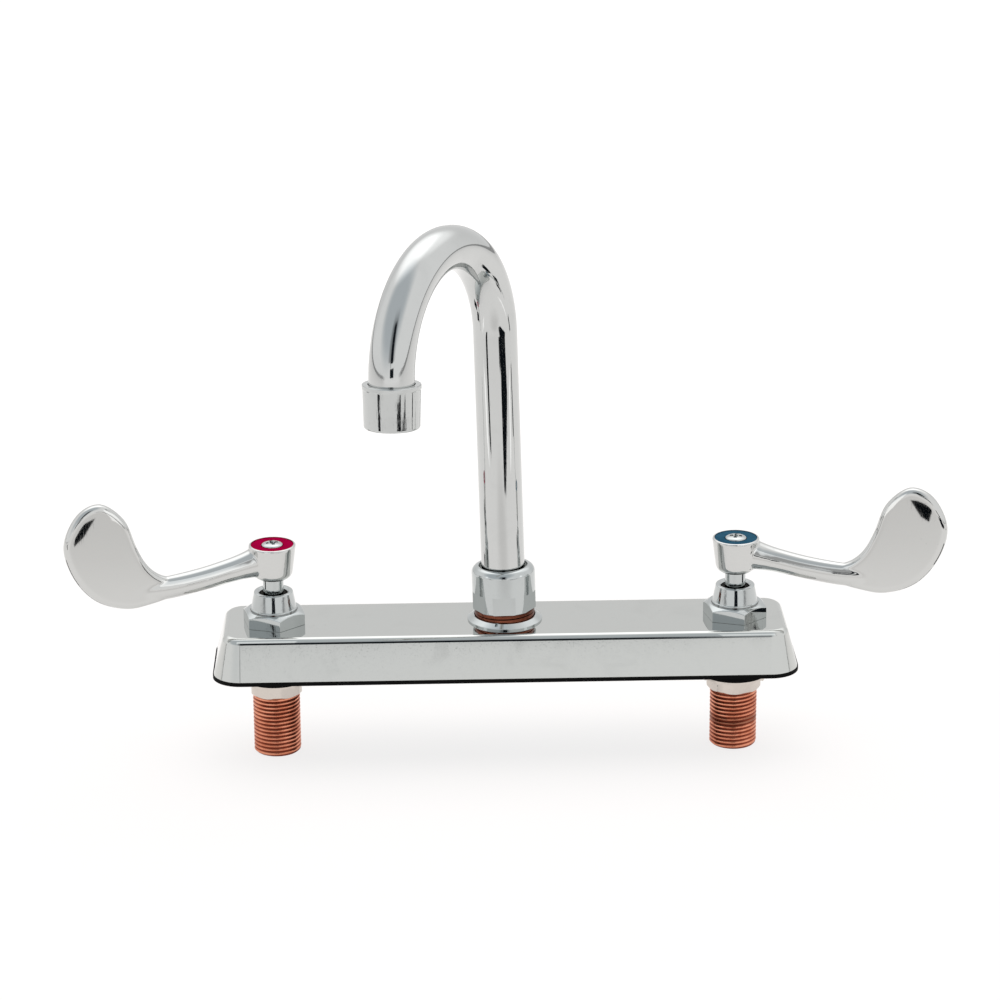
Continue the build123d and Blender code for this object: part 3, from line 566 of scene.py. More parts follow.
# chrome: name, colour, waves per metre, their depth in metres, scratches, pits, finger marks
# plain_metal: name, colour, stain and roughness
# moulded: name, colour, mottling, roughness, depth of the grain in metres and shine
finishes = {
    "tube": chrome("chrome_tube", (0.585, 0.595, 0.590), 60.0, 0.000022, 0.25, 0.0, 0.35),
    "handle": chrome("chrome_handle", (0.610, 0.615, 0.605), 75.0, 0.000022, 0.12, 0.15, 0.10),
    "sheet": chrome("chrome_sheet", (0.585, 0.595, 0.580), 34.0, 0.000030, 0.15, 0.1, 0.30),
    "nuts": chrome("chrome_nuts", (0.520, 0.545, 0.545), 150.0, 0.000020, 0.40, 0.4, 0.60),
    "aerator": chrome("chrome_aerator", (0.560, 0.575, 0.570), 120.0, 0.000022, 0.80, 1.0, 0.90),
    # the lock nuts' chrome is tinted warm: painted reflection of the copper shanks
    "backnut": chrome("chrome_backnut_painted_warm_reflection", (0.640, 0.585, 0.535), 90.0, 0.000120, 0.5, 0.8, 0.8),
    "hot_shank": copper(
        "copper_hot_shank", fresh_copper, valve_x["hot"] * mm, shank_crest * mm, 0.0006
    ),
    "cold_shank": copper(
        "copper_cold_shank", fresh_copper, valve_x["cold"] * mm, shank_crest * mm, 0.0006,
        stained=(-0.0295, -0.0245),
    ),
    "post": copper("copper_post", brown_copper, 0, 0.0132, 0.0005),
    # near-black brass for the sleeves deep in the bonnet mouths: painted shade of that recess
    "painted_shade_brass": plain_metal(
        "brass_with_painted_shade", (0.050, 0.042, 0.034), (0.026, 0.022, 0.018), 0.45
    ),
    "brass": plain_metal("plain_brass", (0.72, 0.50, 0.22), (0.58, 0.38, 0.15), 0.28),
    "steel": plain_metal("stainless", (0.60, 0.59, 0.57), (0.50, 0.49, 0.47), 0.25),
    "rubber": moulded(
        "black_rubber", (0.004, 0.004, 0.0045), (0.006, 0.006, 0.006), 0.5, 0.00003, 0.05
    ),
    "red": moulded("red_index", (0.33, 0.001, 0.042), (0.27, 0.001, 0.032), 0.3, 0.000004, 0.0),
    "blue": moulded("blue_index", (0.028, 0.090, 0.145), (0.020, 0.070, 0.115), 0.3, 0.000004, 0.0),
    "white": moulded("white_plastic", (0.74, 0.74, 0.71), (0.68, 0.68, 0.65), 0.35, 0.00001),
    "ceramic": moulded("white_ceramic", (0.82, 0.81, 0.78), (0.76, 0.75, 0.72), 0.18, 0.000004),
}


# The spout

# Heights and directions of the outlet, in the post's own frame
bend_radius = 46.8
bend_start = 149.8
bend_angle = math.radians(176.2)
# Straight lengths after the bend: above the aerator and inside it
leg_above, leg_inside = 1.5, 7.5
leg_down = Vector((math.sin(bend_angle), 0, math.cos(bend_angle)))
bend_end = Vector(
    (bend_radius * (1 - math.cos(bend_angle)), 0, bend_start + bend_radius * math.sin(bend_angle))
)
outlet_top = bend_end + leg_down * leg_above
leg_side = Vector((0, 1, 0))
outlet_frame = post_frame @ Matrix.Translation(outlet_top * mm) @ Matrix(
    (leg_side, leg_down.cross(leg_side), leg_down)
).transposed().to_4x4()
nut_frame = Matrix.Translation(post_origin * mm) @ Vector((0, 0, 1)).rotation_difference(
    lean_axis
).to_matrix().to_4x4()


def make_spout_tube():
    """A circle pulled up the post, spun round the bend and pulled down into the aerator."""
    radius, wall, foot, lifts = 9.525, 1.0, 17.5, 12
    bare_start()
    bpy.ops.mesh.primitive_circle_add(
        vertices=96, radius=radius * mm, fill_type="NOTHING", location=(0, 0, foot * mm)
    )
    piece = bpy.context.object
    piece.name = "gooseneck"
    bpy.ops.object.transform_apply(location=True)
    edit(piece, "EDGE")
    for _ in range(lifts):
        pull((0, 0, (bend_start - foot) / lifts * mm))
    bpy.ops.mesh.spin(
        steps=96, angle=bend_angle, center=(bend_radius * mm, 0, bend_start * mm), axis=(0, -1, 0)
    )
    for length in (leg_above, leg_inside):
        pull(leg_down * length * mm)
    close_shell()
    done()
    modify(piece, "SOLIDIFY", thickness=wall * mm, offset=-1.0)
    smooth(piece)
    settle(piece, post_frame)
    hand_over(piece, "spout_assembly", "polished_chrome", finishes["tube"], "spout_tube")


def make_aerator():
    """Sleeve with a rolled bead at its top and a soft lip at its mouth."""
    piece = turned(
        "aerator_sleeve",
        (
            (9.8, 0.0, 0.15), (12.24, 0.0, 0.45), (12.24, 1.75, 0.25), (12.0, 2.1, 0.2),
            (11.6, 18.5, 1.2), (8.8, 18.5, 0.3), (8.8, 14.5), (10.35, 14.5), (10.35, 1.8),
            (9.8, 1.2),
        ),
        steps=112,
    )
    crisp(piece)
    settle(piece, outlet_frame)
    hand_over(piece, "spout_assembly", "polished_chrome", finishes["aerator"], "aerator_housing")


def make_swivel_nut():
    """Round collar with a full shoulder above six wrench flats."""
    base, flats_top, top = 25.3, 33.4, 44.9
    bore, mouth, outer, lip = 11.45, 10.7, 13.93, 3.6
    half_width, nut_turn = 13.0, -91.5
    piece = turned(
        "swivel_nut_shell",
        (
            (bore, base), (outer, base, 0.35), (outer, top, 3.1), (mouth, top, 0.35),
            (mouth, top - lip), (bore, top - lip),
        ),
        steps=120,
    )
    low = base - 2
    jaws = turned("jaws", ((8, low), (20, low), (20, flats_top), (8, flats_top)), steps=64)
    cut(jaws, prism("hexagon", 6, half_width, base - 3, flats_top + 1, nut_turn))
    cut(piece, jaws)
    soften(piece, 0.22, segments=3, angle=20.0)
    crisp(piece)
    settle(piece, nut_frame)
    hand_over(piece, "deck_assembly", "polished_chrome", finishes["nuts"], "swivel_nut")


def make_base_ring():
    """Low bevelled ring with two spanner notches."""
    piece = turned(
        "post_ring",
        (
            (13.45, 0), (16.5, 0), (16.5, 0.7, 0.3), (14.1, 2.4, 0.4), (13.45, 2.4, 0.15),
        ),
    )
    settle(piece, Matrix.Translation((0, 0, plate_top * mm)))
    from_axis = Matrix.Translation((15.3 * mm, 0, (plate_top + 2.5) * mm))
    for angle in (254.0, 74.0):
        around = Matrix.Rotation(math.radians(angle), 4, "Z")
        cut(piece, block((3.4, 1.2, 2.0), around @ from_axis))
    soften(piece, 0.12)
    crisp(piece)
    hand_over(piece, "deck_assembly", "polished_chrome", finishes["nuts"], "spout_base_ring")


def make_post():
    """The spout body with two worn thread bands between the ring and the nut."""
    piece = clean_copy("spout_post", "spout_body")
    shoulder = turned("shoulder", ((11.35, 25.2), (15, 25.2), (15, 27), (11.35, 27)))
    settle(shoulder, nut_frame)
    cut(piece, shoulder)
    bands = turned(
        "thread_bands",
        (
            (12.3, 20.2), (13.2, 20.2), (13.2, 23.1, 0.2), (12.6, 23.55), (13.2, 24.0, 0.2),
            (13.2, 24.9, 0.2), (12.9, 25.15), (12.3, 25.15),
        ),
    )
    settle(bands, nut_frame)
    cut(piece, bands, "UNION")
    smooth(piece)
    hand_over(piece, "deck_assembly", "coppery_brass", finishes["post"], "spout_body")


# The deck

def make_cover_plate():
    """Drawn box: a sheet with round corners pulled up with drafted sides, its rim rounded."""
    foot, rise, draft, wall, edge_round = 1.6, 18.3, math.radians(15.0), 1.0, 3.2
    length, depth, corner_round = 256.4, 54.0, 12.5
    bare_start()
    bpy.ops.mesh.primitive_plane_add(size=1, location=(0, 0, foot * mm))
    piece = bpy.context.object
    piece.name = "deck_cover"
    piece.scale = (length * mm, depth * mm, 1)
    bpy.ops.object.transform_apply(location=True, rotation=True, scale=True)
    edit(piece)
    bpy.ops.mesh.bevel(offset=corner_round * mm, segments=16, affect="VERTICES", profile=0.5)
    bpy.ops.mesh.select_mode(type="FACE")
    choose_all()
    bpy.ops.mesh.inset(thickness=rise * math.tan(draft) * mm, depth=rise * mm)
    top = (foot + rise) * mm
    choose_edges(piece, lambda a, b: a.z > top - mm and b.z > top - mm)
    # the top turns down by a right angle less the draft, which sets where its round starts
    setback = edge_round * math.tan((math.radians(90) - draft) / 2)
    bpy.ops.mesh.bevel(offset=setback * mm, segments=12, affect="EDGES", profile=0.5)
    close_shell()
    done()
    modify(piece, "SOLIDIFY", thickness=wall * mm, offset=-1.0)
    for x, radius in ((valve_x["hot"], 10.45), (valve_x["cold"], 10.45), (0, 13.45)):
        hole = prism("hole", 96, radius, plate_top - 2, plate_top + 1)
        settle(hole, Matrix.Translation((x * mm, 0, 0)))
        cut(piece, hole)
    soften(piece, 0.22, angle=60.0)
    crisp(piece, angle=30)
    hand_over(piece, "deck_assembly", "polished_chrome", finishes["sheet"], "cover_plate")


def make_clamp_nut():
    """Hexagon with a conical top, at the origin of its valve."""
    top, half_width, nut_turn = 26.2, 12.45, -48.0
    bore, flat, outer, slope = 10.25, 11.7, 18, math.radians(32)
    piece = prism("clamp_nut", 6, half_width, plate_top, top + 1, nut_turn)
    cone = turned(
        "cone",
        (
            (bore, plate_top - 1), (outer, plate_top - 1),
            (outer, top - (outer - flat) * math.tan(slope)), (flat, top), (bore, top),
        ),
        steps=144,
    )
    cut(piece, cone, "INTERSECT")
    soften(piece, 0.22, segments=3, angle=20.0)
    crisp(piece)
    return piece


def make_bonnet():
    """Conical collar with a lip at its foot and a chamfered mouth."""
    piece = turned(
        "bonnet",
        (
            (6.2, 20.57), (8.95, 20.57), (8.95, 26.2), (10.3, 26.2, 0.1), (10.3, 27.1, 0.3),
            (9.9, 27.1, 0.15), (8.5, 34.4, 0.5), (7.0, 34.4, 0.15), (6.2, 33.6, 0.15),
        ),
    )
    crisp(piece)
    return piece


def make_deck_washer():
    return turned("deck_washer", ((10.95, 0), (15.5, 0, 0.35), (15.5, 3.2, 0.35), (10.95, 3.2)))


def make_shank():
    """Valve body: one tooth screwed up along a helix, with the flange and barrel above."""
    pitch, low, high = shank_pitch, -40.5, 1.0
    rod = start_point("thread", (shank_crest * mm, 0, (low - 2 * pitch) * mm))
    # each point's distance from the crest, and its climb from the last point
    tooth = (
        (0.0, 0.10), (-0.04, 0.14), (-0.12, 0.16), (-0.30, 0.18), (-0.55, 0.20), (-0.62, 0.127),
        (-0.55, 0.127), (-0.30, 0.20), (-0.12, 0.18), (-0.04, 0.16), (0.0, 0.14),
    )
    depth_now = 0.0
    climbed = 0.0
    for depth, climb in tooth:
        pull(((depth - depth_now) * mm, 0, climb * mm))
        depth_now = depth
        climbed += climb
    pull((0, 0, (pitch - climbed) * mm))
    done()
    modify(
        rod, "SCREW", axis="Z", angle=2 * math.pi, screw_offset=pitch * mm, steps=72,
        render_steps=72, iterations=int((high - low) / pitch) + 5, use_merge_vertices=True,
        merge_threshold=weld,
    )
    edit(rod)
    close_shell()
    for height, drop_above in ((low - 0.3, False), (high, True)):
        choose_all()
        bpy.ops.mesh.bisect(
            plane_co=(0, 0, height * mm), plane_no=(0, 0, 1), use_fill=True,
            clear_inner=not drop_above, clear_outer=drop_above,
        )
    close_shell()
    done()
    lathe = turned(
        "lathe",
        (
            (6.5, low + 0.8), (7.3, low), (9.65, low), (10.6, low + 0.95), (10.6, high + 1),
            (6.5, high + 1),
        ),
    )
    cut(rod, lathe, "INTERSECT")
    body = turned(
        "shank",
        (
            (6.5, 0.5), (9.6, 0.5), (9.6, 1.6), (15.0, 1.6, 0.3), (15.0, 4.6, 0.3), (12.4, 4.6),
            (12.4, 18.9), (10.2, 18.9), (10.2, 26.2), (9.0, 26.2), (9.0, 18.97), (8.0, 18.97),
            (8.0, 8.0), (6.5, 8.0),
        ),
    )
    pick(body, rod)
    bpy.ops.object.join()
    smooth(body, angle=40)
    return body


# Handles

def between(rows, steps):
    """Even in-between rows on a smooth curve through the given rows of numbers."""
    out = []
    last = len(rows) - 1
    for index in range(last):
        a, b, c, d = (rows[max(0, min(last, index + k))] for k in (-1, 0, 1, 2))
        for step in range(steps):
            t = step / steps
            out.append(tuple(
                0.5 * (2 * q + (r - p) * t + (2 * p - 5 * q + 4 * r - s) * t * t
                       + (3 * q - p - 3 * r + s) * t ** 3)
                for p, q, r, s in zip(a, b, c, d)
            ))
    return out + [tuple(rows[-1])]


# Distance from the hub, height, half height and half thickness of the arm's sections
arm_stations = (
    (3.0, 8.2, 6.6, 5.8), (9.0, 8.0, 6.5, 5.8), (14.0, 7.0, 5.75, 5.3), (20.0, 5.7, 5.3, 4.9),
    (32.0, 3.3, 5.1, 4.6), (46.0, 1.4, 5.1, 4.1), (62.0, 0.4, 4.9, 2.2),
)
# Distance from the hub and height, round the blade
blade_outline = (
    (44.0, 5.0), (51.0, 8.0), (56.3, 13.4), (60.4, 21.8), (65.2, 34.6), (75.2, 42.6), (85.6, 38.6),
    (92.0, 25.4), (88.6, 10.8), (79.2, -0.9), (66.0, -6.1), (54.0, -5.0), (44.0, -2.4),
)
blade_thickness = 5.6


def make_arm():
    """Oval arm: a disc pulled from the hub towards the blade, resized at each station."""
    rows = between(arm_stations, steps=5)
    first = rows[0]
    bare_start()
    bpy.ops.mesh.primitive_circle_add(vertices=40, radius=mm, fill_type="NGON")
    arm = bpy.context.object
    upright = Matrix.Rotation(math.radians(90), 4, "Y")
    oval = Matrix.Diagonal((first[2], first[3], 1, 1))
    settle(arm, Matrix.Translation((first[0] * mm, 0, first[1] * mm)) @ upright @ oval)
    edit(arm, "FACE")
    for old, new in zip(rows, rows[1:]):
        pull(((new[0] - old[0]) * mm, 0, (new[1] - old[1]) * mm))
        bpy.ops.transform.resize(
            value=(1, new[3] / old[3], new[2] / old[2]),
            center_override=(new[0] * mm, 0, new[1] * mm),
        )
    close_shell()
    done()
    return arm


def make_blade():
    """Flat paddle: its outline filled, pulled to its thickness and rounded at the edge."""
    points = between(blade_outline, steps=6)
    blade = start_point(
        "blade", (points[0][0] * mm, -blade_thickness / 2 * mm, points[0][1] * mm)
    )
    for old, new in zip(points, points[1:]):
        pull(((new[0] - old[0]) * mm, 0, (new[1] - old[1]) * mm))
    choose_all()
    bpy.ops.mesh.edge_face_add()
    pull((0, blade_thickness * mm, 0))
    close_shell()
    done()
    modify(
        blade, "BEVEL", width=2.3 * mm, segments=6, limit_method="ANGLE",
        angle_limit=math.radians(50), use_clamp_overlap=False,
    )
    return blade


def make_handle():
    """Hub, arm and blade cast in one and polished; the arm runs along +X from the hub."""
    ring_seat, stem_socket = (9.4, 13.9, 18), (4.55, -2, 1.6)
    hub = turned(
        "wrist_handle", ((0, 0), (8.3, 0, 3.6), (10.45, 15.7, 0.35), (0, 15.7)), closed=False
    )
    pick(hub, make_arm(), make_blade())
    bpy.ops.object.join()
    modify(hub, "REMESH", mode="VOXEL", voxel_size=0.42 * mm)
    modify(hub, "SMOOTH", factor=0.5, iterations=14)
    for radius, low, high in (ring_seat, stem_socket):
        cut(hub, prism("drill", 96, radius, low, high))
    smooth(hub)
    return hub


def make_index_ring():
    piece = turned("index_disc", ((4.87, 0), (9.35, 0), (9.35, 1.45, 0.25), (4.87, 1.5, 0.25)))
    crisp(piece)
    return piece


def make_screw():
    """Domed screw whose cross recess is cut by two bars and a point."""
    radius, rim, crown, steps = 4.67, 1.5, 1.2, 12
    angles = [math.radians(90 * step / steps) for step in range(1, steps)]
    dome = [(radius * math.cos(a), rim + crown * math.sin(a)) for a in angles]
    screw = turned(
        "cross_screw",
        (
            (0, -8), (1.6, -8), (2, -7.6), (2, 0), (radius, 0, 0.2), (radius, rim), *dome,
            (0, rim + crown),
        ),
        steps=72, closed=False,
    )
    lift = Matrix.Translation((0, 0, 2.4 * mm))
    for turn in (0, 90):
        around = Matrix.Rotation(math.radians(turn), 4, "Z")
        cut(screw, block((5.4, 1.45, 2.8), around @ lift))
    cut(screw, turned("point", ((0, -0.4), (1.7, 2.7), (1.7, 4), (0, 4)), steps=32, closed=False))
    soften(screw, 0.08)
    crisp(screw)
    return screw


def make_valve_pieces():
    """Everything that the hot and the cold side share, made once and copied."""
    nut, bonnet, washer, shank = make_clamp_nut(), make_bonnet(), make_deck_washer(), make_shank()
    handle, ring, screw = make_handle(), make_index_ring(), make_screw()
    handle_foot, ring_foot = 40.4, 54.3
    washer_foot = {"hot": -5.7, "cold": -6.8}
    colour = {"hot": "red", "cold": "blue"}
    metal = "polished_chrome"
    for side, x in valve_x.items():
        column = Matrix.Translation((x * mm, 0, 0))
        arm_turn = Matrix.Rotation(math.radians(handle_turn[side]), 4, "Z")
        still = (
            (nut, "nut", 0, "nuts", metal, "clamp_nut"),
            (bonnet, "bonnet", 0, "nuts", metal, "bonnet"),
            (washer, "washer", washer_foot[side], "rubber", "black_rubber", "deck_washer"),
            (shank, "shank", 0, side + "_shank", "coppery_brass", "valve_body"),
        )
        turning = (
            (handle, "wrist_handle", handle_foot, "handle", metal, "handle"),
            (ring, "index", ring_foot, colour[side], colour[side] + "_plastic", "index_ring"),
            (screw, "screw", ring_foot, "nuts", metal, "handle_screw"),
        )
        for rows, body, turn in (
            (still, "deck_assembly", Matrix.Identity(4)), (turning, handle_body[side], arm_turn),
        ):
            for master, word, height, finish, slot, node in rows:
                piece = copy_of(master, side + "_" + word)
                settle(piece, column @ Matrix.Translation((0, 0, height * mm)) @ turn)
                hand_over(piece, body, slot, finishes[finish], side + "_" + node)
        lock_nut = clean_copy(side + "_backnut", side + "_lock_nut")
        soften(lock_nut, 0.25, angle=25.0)
        crisp(lock_nut)
        hand_over(lock_nut, "deck_assembly", metal, finishes["backnut"], side + "_lock_nut")
    for master in (nut, bonnet, washer, shank, handle, ring, screw):
        bpy.data.objects.remove(master)


def finish_kept_nodes():
    """Nodes whose CAD shape stays get their finish, by the first of these words in their name."""
    by_word = {
        "gasket": "rubber", "o_rings": "rubber", "seat_seal": "rubber",
        "aerator_washer": "rubber", "swivel_washer": "white", "aerator_insert": "white",
        # the sleeves get the brass darkened as painted shade
        "aerator_screen": "steel", "collar": "brass", "cross_tube": "brass", "sleeve": "painted_shade_brass",
        "disc": "ceramic", "stem": "nuts",
    }
    for name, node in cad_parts.items():
        for word, finish in by_word.items():
            if word in name:
                coat(node, finishes[finish])
                break


# Studio

floor_height = -40.7
floor_flags = {
    "broad_flag": (
        (147, -434), (215, -402), (370, -440), (560, -430), (680, -610), (360, -820), (319, -738),
        (250, -657), (194, -540),
    ),
    "slim_flag": ((-318, -352), (-372, -325), (-640, -480), (-590, -620)),
    "hair_flag": ((560, -55), (740, -75), (740, -130), (560, -105)),
    "left_tube_flag": ((-253, -5), (-248, 46), (-341, 66), (-348, -5)),
    "right_tube_flag": ((263, -42), (265, 21), (349, 30), (348, -54)),
    "left_collar_flag": ((-198, 31), (-180, 81), (-233, 109), (-256, 44)),
    "right_collar_flag": ((199, 18), (185, 69), (244, 96), (263, 27)),
    "left_outlet_flag": ((-640, -471), (-892, -635), (-772, -785), (-557, -576)),
    "right_outlet_flag": ((195, -748), (298, -1030), (544, -899), (367, -656)),
}


def make_floor():
    """White sweep: lit for the camera and the chrome, and it keeps the object's shadow."""
    # light that the paper gives the camera, near the object and further out
    near_glow, far_glow = 0.81, 0.92
    # light that it gives the chrome: everywhere, less before the plate, more far ahead, and the
    # share that is lost far out to the sides
    glow, plate_shade, ahead_glow, side_loss = 0.62, 0.17, 0.24, 0.42
    plate_spot = (0.01, -0.36, 0)
    camera_paper, mirror_paper = (0.19, 0.175, 0.170), (0.36, 0.345, 0.335)
    bare_start()
    bpy.ops.mesh.primitive_plane_add(size=12, location=(0, 0, floor_height * mm))
    floor = bpy.context.object
    floor.name = "floor"
    bpy.ops.object.transform_apply(location=True)
    material, tree, shader, where = new_finish("white_paper")
    shader.inputs["Roughness"].default_value = 0.9
    shader.inputs["Specular IOR Level"].default_value = 0.0
    _, reach = vector_maths(tree, "LENGTH", where)
    _, from_spot = vector_maths(tree, "DISTANCE", where, plate_spot)
    even = maths(tree, "SUBTRACT", glow, ranged(tree, from_spot, 0.05, 0.22, plate_shade, 0.0))
    along, back, _ = axes(tree, where)
    toward = maths(tree, "MAXIMUM", maths(tree, "MULTIPLY", back, -1.0), 0.05)
    beside = maths(tree, "DIVIDE", maths(tree, "ABSOLUTE", along), toward)
    to_side = ranged(tree, beside, 0.5, 1.1)
    beyond = maths(tree, "MULTIPLY", ranged(tree, reach, 2.6, 3.0), to_side)
    left_over = maths(tree, "SUBTRACT", 1.0, maths(tree, "MULTIPLY", beyond, side_loss))
    to_front = maths(tree, "SUBTRACT", 1.0, to_side)
    ahead = maths(tree, "MULTIPLY", ranged(tree, reach, 0.8, 2.6, 0.0, ahead_glow), to_front)
    mirror, camera_ray = ray_kinds(tree)
    camera_glow = ranged(tree, reach, 0.20, 0.60, near_glow, far_glow)
    mirror_glow = maths(tree, "ADD", maths(tree, "MULTIPLY", left_over, even), ahead)
    seen = maths(tree, "MULTIPLY", camera_ray, camera_glow)
    shown = maths(tree, "MULTIPLY", mirror, mirror_glow)
    wire(tree, maths(tree, "ADD", seen, shown), shader.inputs["Emission Strength"])
    shader.inputs["Emission Color"].default_value = (1, 1, 1, 1)
    paper = mixed(tree, camera_ray, mirror_paper, camera_paper)
    colour = mixed(tree, maths(tree, "MULTIPLY", mirror, beyond), paper, (0.01, 0.01, 0.01))
    wire(tree, colour, shader.inputs["Base Color"])
    coat(floor, material)


def dress_card(card):
    """A matt black card of the studio that only the chrome sees."""
    material, _, shader, _ = new_finish(card.name + "_cloth")
    shader.inputs["Base Color"].default_value = (0.006, 0.008, 0.010, 1)
    shader.inputs["Roughness"].default_value = 1.0
    shader.inputs["Specular IOR Level"].default_value = 0.0
    coat(card, material)
    for hidden in ("visible_camera", "visible_diffuse", "visible_shadow", "visible_transmission"):
        setattr(card, hidden, False)


def make_card(name, corners):
    """A flat card through its corners."""
    card = start_point(name, corners[0])
    for old, new in zip(corners, corners[1:]):
        pull(new - old)
    choose_all()
    bpy.ops.mesh.edge_face_add()
    done()
    return card


def make_floor_flag(name, corners):
    """A card that lies just above the floor; its corners are millimetres across and back."""
    height = (floor_height + 0.6) * mm
    dress_card(make_card(name, [Vector((x * mm, y * mm, height)) for x, y in corners]))


def make_blade_card(name, side, spots):
    """A small card before a blade, where the blade's flat mirrors it at those spots.

    The spots are picture points, counted from the top left of a picture 1000 points wide.
    """
    card_distance, picture = 62, 1000
    camera = bpy.context.scene.camera
    eye = camera.matrix_world.translation
    focal = camera.data.lens / camera.data.sensor_width
    turn = math.radians(handle_turn[side])
    facing = Vector((-math.sin(turn), math.cos(turn), 0))
    if facing.y > 0:
        facing.negate()
    hub = Vector((valve_x[side] * mm, 0, 0))
    flat = hub + facing * (blade_thickness / 2) * mm
    corners = []
    for x, y in spots:
        right, down = (x - picture / 2) / picture, (y - picture / 2) / picture
        ray = camera.matrix_world.to_3x3() @ Vector((right / focal, -down / focal, -1))
        ray.normalize()
        hit = eye + ray * ((flat - eye).dot(facing) / ray.dot(facing))
        corners.append(hit + ray.reflect(facing) * card_distance * mm)
    dress_card(make_card(name, corners))


def near(tree, where, azimuth, height, outer, inner):
    """A soft round patch of the sky: 1 inside the inner angle, 0 outside the outer one."""
    turn, rise = math.radians(azimuth), math.radians(height)
    middle = (math.sin(turn) * math.cos(rise), -math.cos(turn) * math.cos(rise), math.sin(rise))
    _, closeness = vector_maths(tree, "DOT_PRODUCT", where, middle)
    edge, core = math.cos(math.radians(outer)), math.cos(math.radians(inner))
    return ranged(tree, closeness, edge, core)


def make_world():
    """White surroundings, in which the chrome alone sees darker, tinted and brighter parts."""
    black, tint = (0.010, 0.014, 0.018), (0.60, 0.64, 0.67)
    tinted_part, back_loss = (-28, 53, 54, 26), 0.16
    # dark parts: left and right with their soft edge, bottom and top with theirs, and the depth
    dark_parts = (
        (-0.42, 0.30, 0.25, 0.165, 0.84, 0.02, 0.24, 0.6),
        (-0.16, 0.17, 0.03, -0.06, 0.10, 0.02, 0.02, 1.0),
        (-0.145, 0.115, 0.03, 0.155, 0.74, 0.01, 0.12, 1.0),
        (-0.16, -0.06, 0.03, 0.09, 0.17, 0.02, 0.02, 0.4),
    )
    # soft lights: azimuth, height, outer and inner angle, and the light that they add
    lights = ((-165, 60, 36, 8, 0.70), (150, 52, 28, 8, 0.35))
    world = bpy.data.worlds.new("studio")
    bpy.context.scene.world = world
    world.use_nodes = True
    tree = world.node_tree
    tree.nodes.clear()
    out = tree.nodes.new("ShaderNodeOutputWorld")
    sky = tree.nodes.new("ShaderNodeBackground")
    mirror, camera_ray = ray_kinds(tree)
    where = tree.nodes.new("ShaderNodeTexCoord").outputs["Generated"]
    right, back, up = axes(tree, where)
    toward = maths(tree, "MAXIMUM", maths(tree, "MULTIPLY", back, -1.0), 0.05)
    aside = maths(tree, "DIVIDE", right, toward)
    dark = 0.0
    for left, far, side_edge, low, high, low_edge, high_edge, depth in dark_parts:
        rising = ranged(tree, up, low, low + low_edge)
        falling = ranged(tree, up, high - high_edge, high, depth, 0.0)
        across = between_edges(tree, aside, left, far, side_edge)
        part = maths(tree, "MULTIPLY", maths(tree, "MULTIPLY", rising, falling), across)
        dark = maths(tree, "MAXIMUM", dark, part)
    dark = maths(tree, "MULTIPLY", dark, ranged(tree, back, -0.12, -0.06, 1.0, 0.0))
    low_back = maths(
        tree, "MULTIPLY", ranged(tree, back, 0.3, 0.8), ranged(tree, up, 0.3, 0.6, 1.0, 0.0)
    )
    level = maths(tree, "SUBTRACT", 1.0, maths(tree, "MULTIPLY", low_back, back_loss))
    for *patch, added in lights:
        level = maths(tree, "ADD", level, maths(tree, "MULTIPLY", near(tree, where, *patch), added))
    tone = mixed(tree, near(tree, where, *tinted_part), (1.0, 1.0, 1.0), tint)
    tone = mixed(tree, dark, tone, black)
    bright = add(tree, "ShaderNodeVectorMath", operation="SCALE")
    wire(tree, tone, bright.inputs[0])
    wire(tree, level, bright.inputs["Scale"])
    seen = mixed(tree, mirror, (0.50, 0.50, 0.50), bright.outputs[0])
    wire(tree, mixed(tree, camera_ray, seen, (1.0, 1.0, 1.0)), sky.inputs["Color"])
    wire(tree, sky.outputs[0], out.inputs[0])


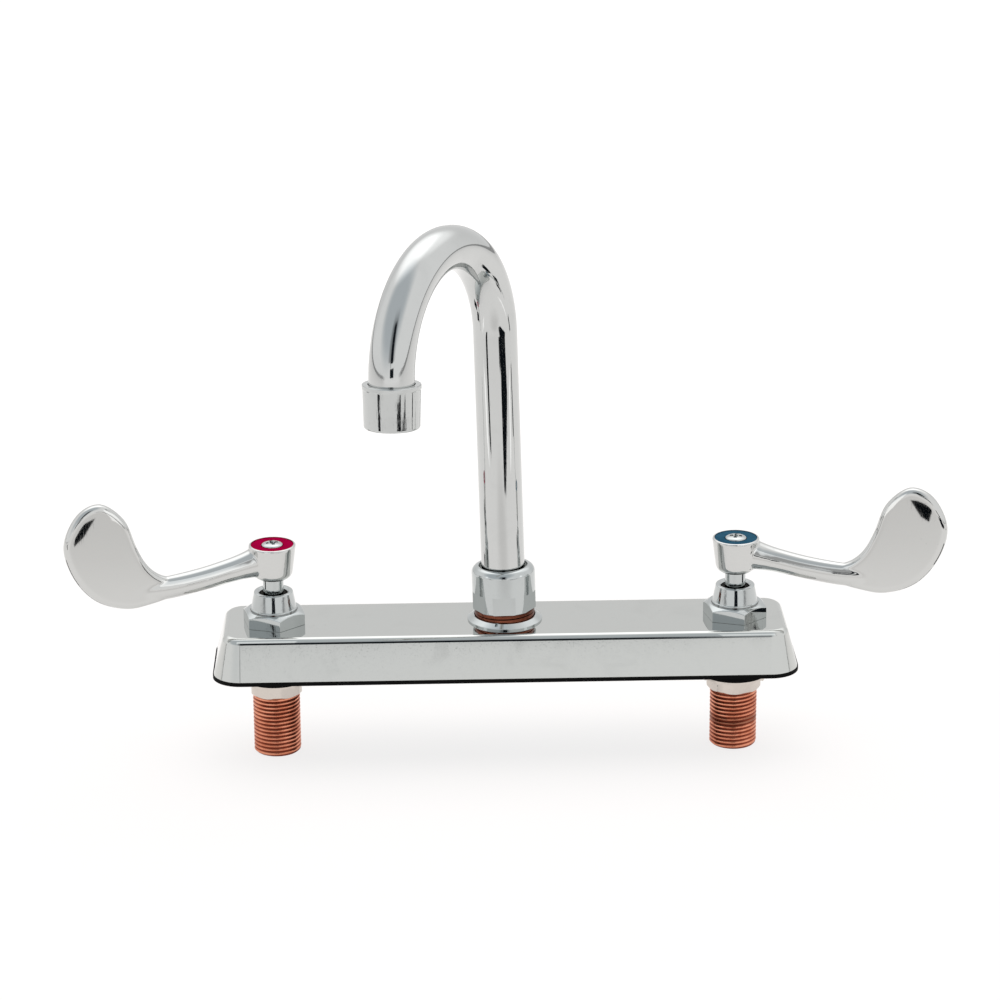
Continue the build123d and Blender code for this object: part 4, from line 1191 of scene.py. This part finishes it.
def make_lamp(name, place, aim, size, power):
    """A lamp that the chrome doesn't see, in metres and watts."""
    bare_start()
    bpy.ops.object.light_add(type="AREA", location=place)
    lamp = bpy.context.object
    lamp.name = name
    lamp.data.shape = "RECTANGLE"
    lamp.data.size, lamp.data.size_y = size
    lamp.data.energy = power
    lamp.visible_glossy = False
    lamp.rotation_mode = "QUATERNION"
    lamp.rotation_quaternion = (Vector(aim) - Vector(place)).to_track_quat("-Z", "Y")


def make_softbox(name, left, right):
    """A small lit panel before an arm, which only the chrome sees."""
    tall, brightness = 46, 0.45
    middle = (left + right) / 2
    place, aim = Vector((middle, -60, 80)) * mm, Vector((middle, -10, 60)) * mm
    size = ((right - left) * mm, tall * mm)
    make_lamp(name, place, aim, size, brightness * math.pi * size[0] * size[1])
    panel = bpy.context.object
    panel.visible_glossy = True
    panel.visible_camera = panel.visible_diffuse = False


def make_camera():
    """The photograph's view: a long lens, a little above, turned and rolled by a hair."""
    yaw, rise, roll = math.radians(-1.447), math.radians(18.914), math.radians(-0.379)
    aim, distance = Vector((-1.78, 0, 74.88)) * mm, 1.5
    back = Vector((math.sin(yaw) * math.cos(rise), -math.cos(yaw) * math.cos(rise), math.sin(rise)))
    level = Vector((math.cos(yaw), math.sin(yaw), 0))
    upright = back.cross(level)
    right = level * math.cos(roll) + upright * math.sin(roll)
    up = upright * math.cos(roll) - level * math.sin(roll)
    bpy.ops.object.camera_add()
    camera = bpy.context.object
    camera.name = "photo_view"
    camera.data.sensor_width = 36.0
    camera.data.lens = 123.82
    camera.data.clip_end = 50.0
    turn = Matrix((right, up, back)).transposed().to_4x4()
    camera.matrix_world = Matrix.Translation(aim + back * distance) @ turn
    bpy.context.scene.camera = camera


make_camera()
make_spout_tube()
make_aerator()
make_swivel_nut()
make_base_ring()
make_post()
make_cover_plate()
make_valve_pieces()
finish_kept_nodes()
make_floor()
for name, corners in floor_flags.items():
    make_floor_flag(name, corners)
make_blade_card("hot_blade_card", "hot", ((95, 518), (84, 537), (74, 547), (73, 539), (84, 524)))
make_blade_card("cold_blade_card", "cold", (
    (910, 500), (918, 501), (934, 508), (931, 515), (929, 522), (921, 517), (916, 509),
))
make_world()
make_lamp("overhead", (0.05, 0.30, 1.6), (0, 0, 0), (2.6, 2.2), 32)
make_softbox("hot_arm_light", -144, -94)
make_softbox("cold_arm_light", 100, 150)
bare_start()

scene = bpy.context.scene
scene.view_settings.view_transform = "Standard"
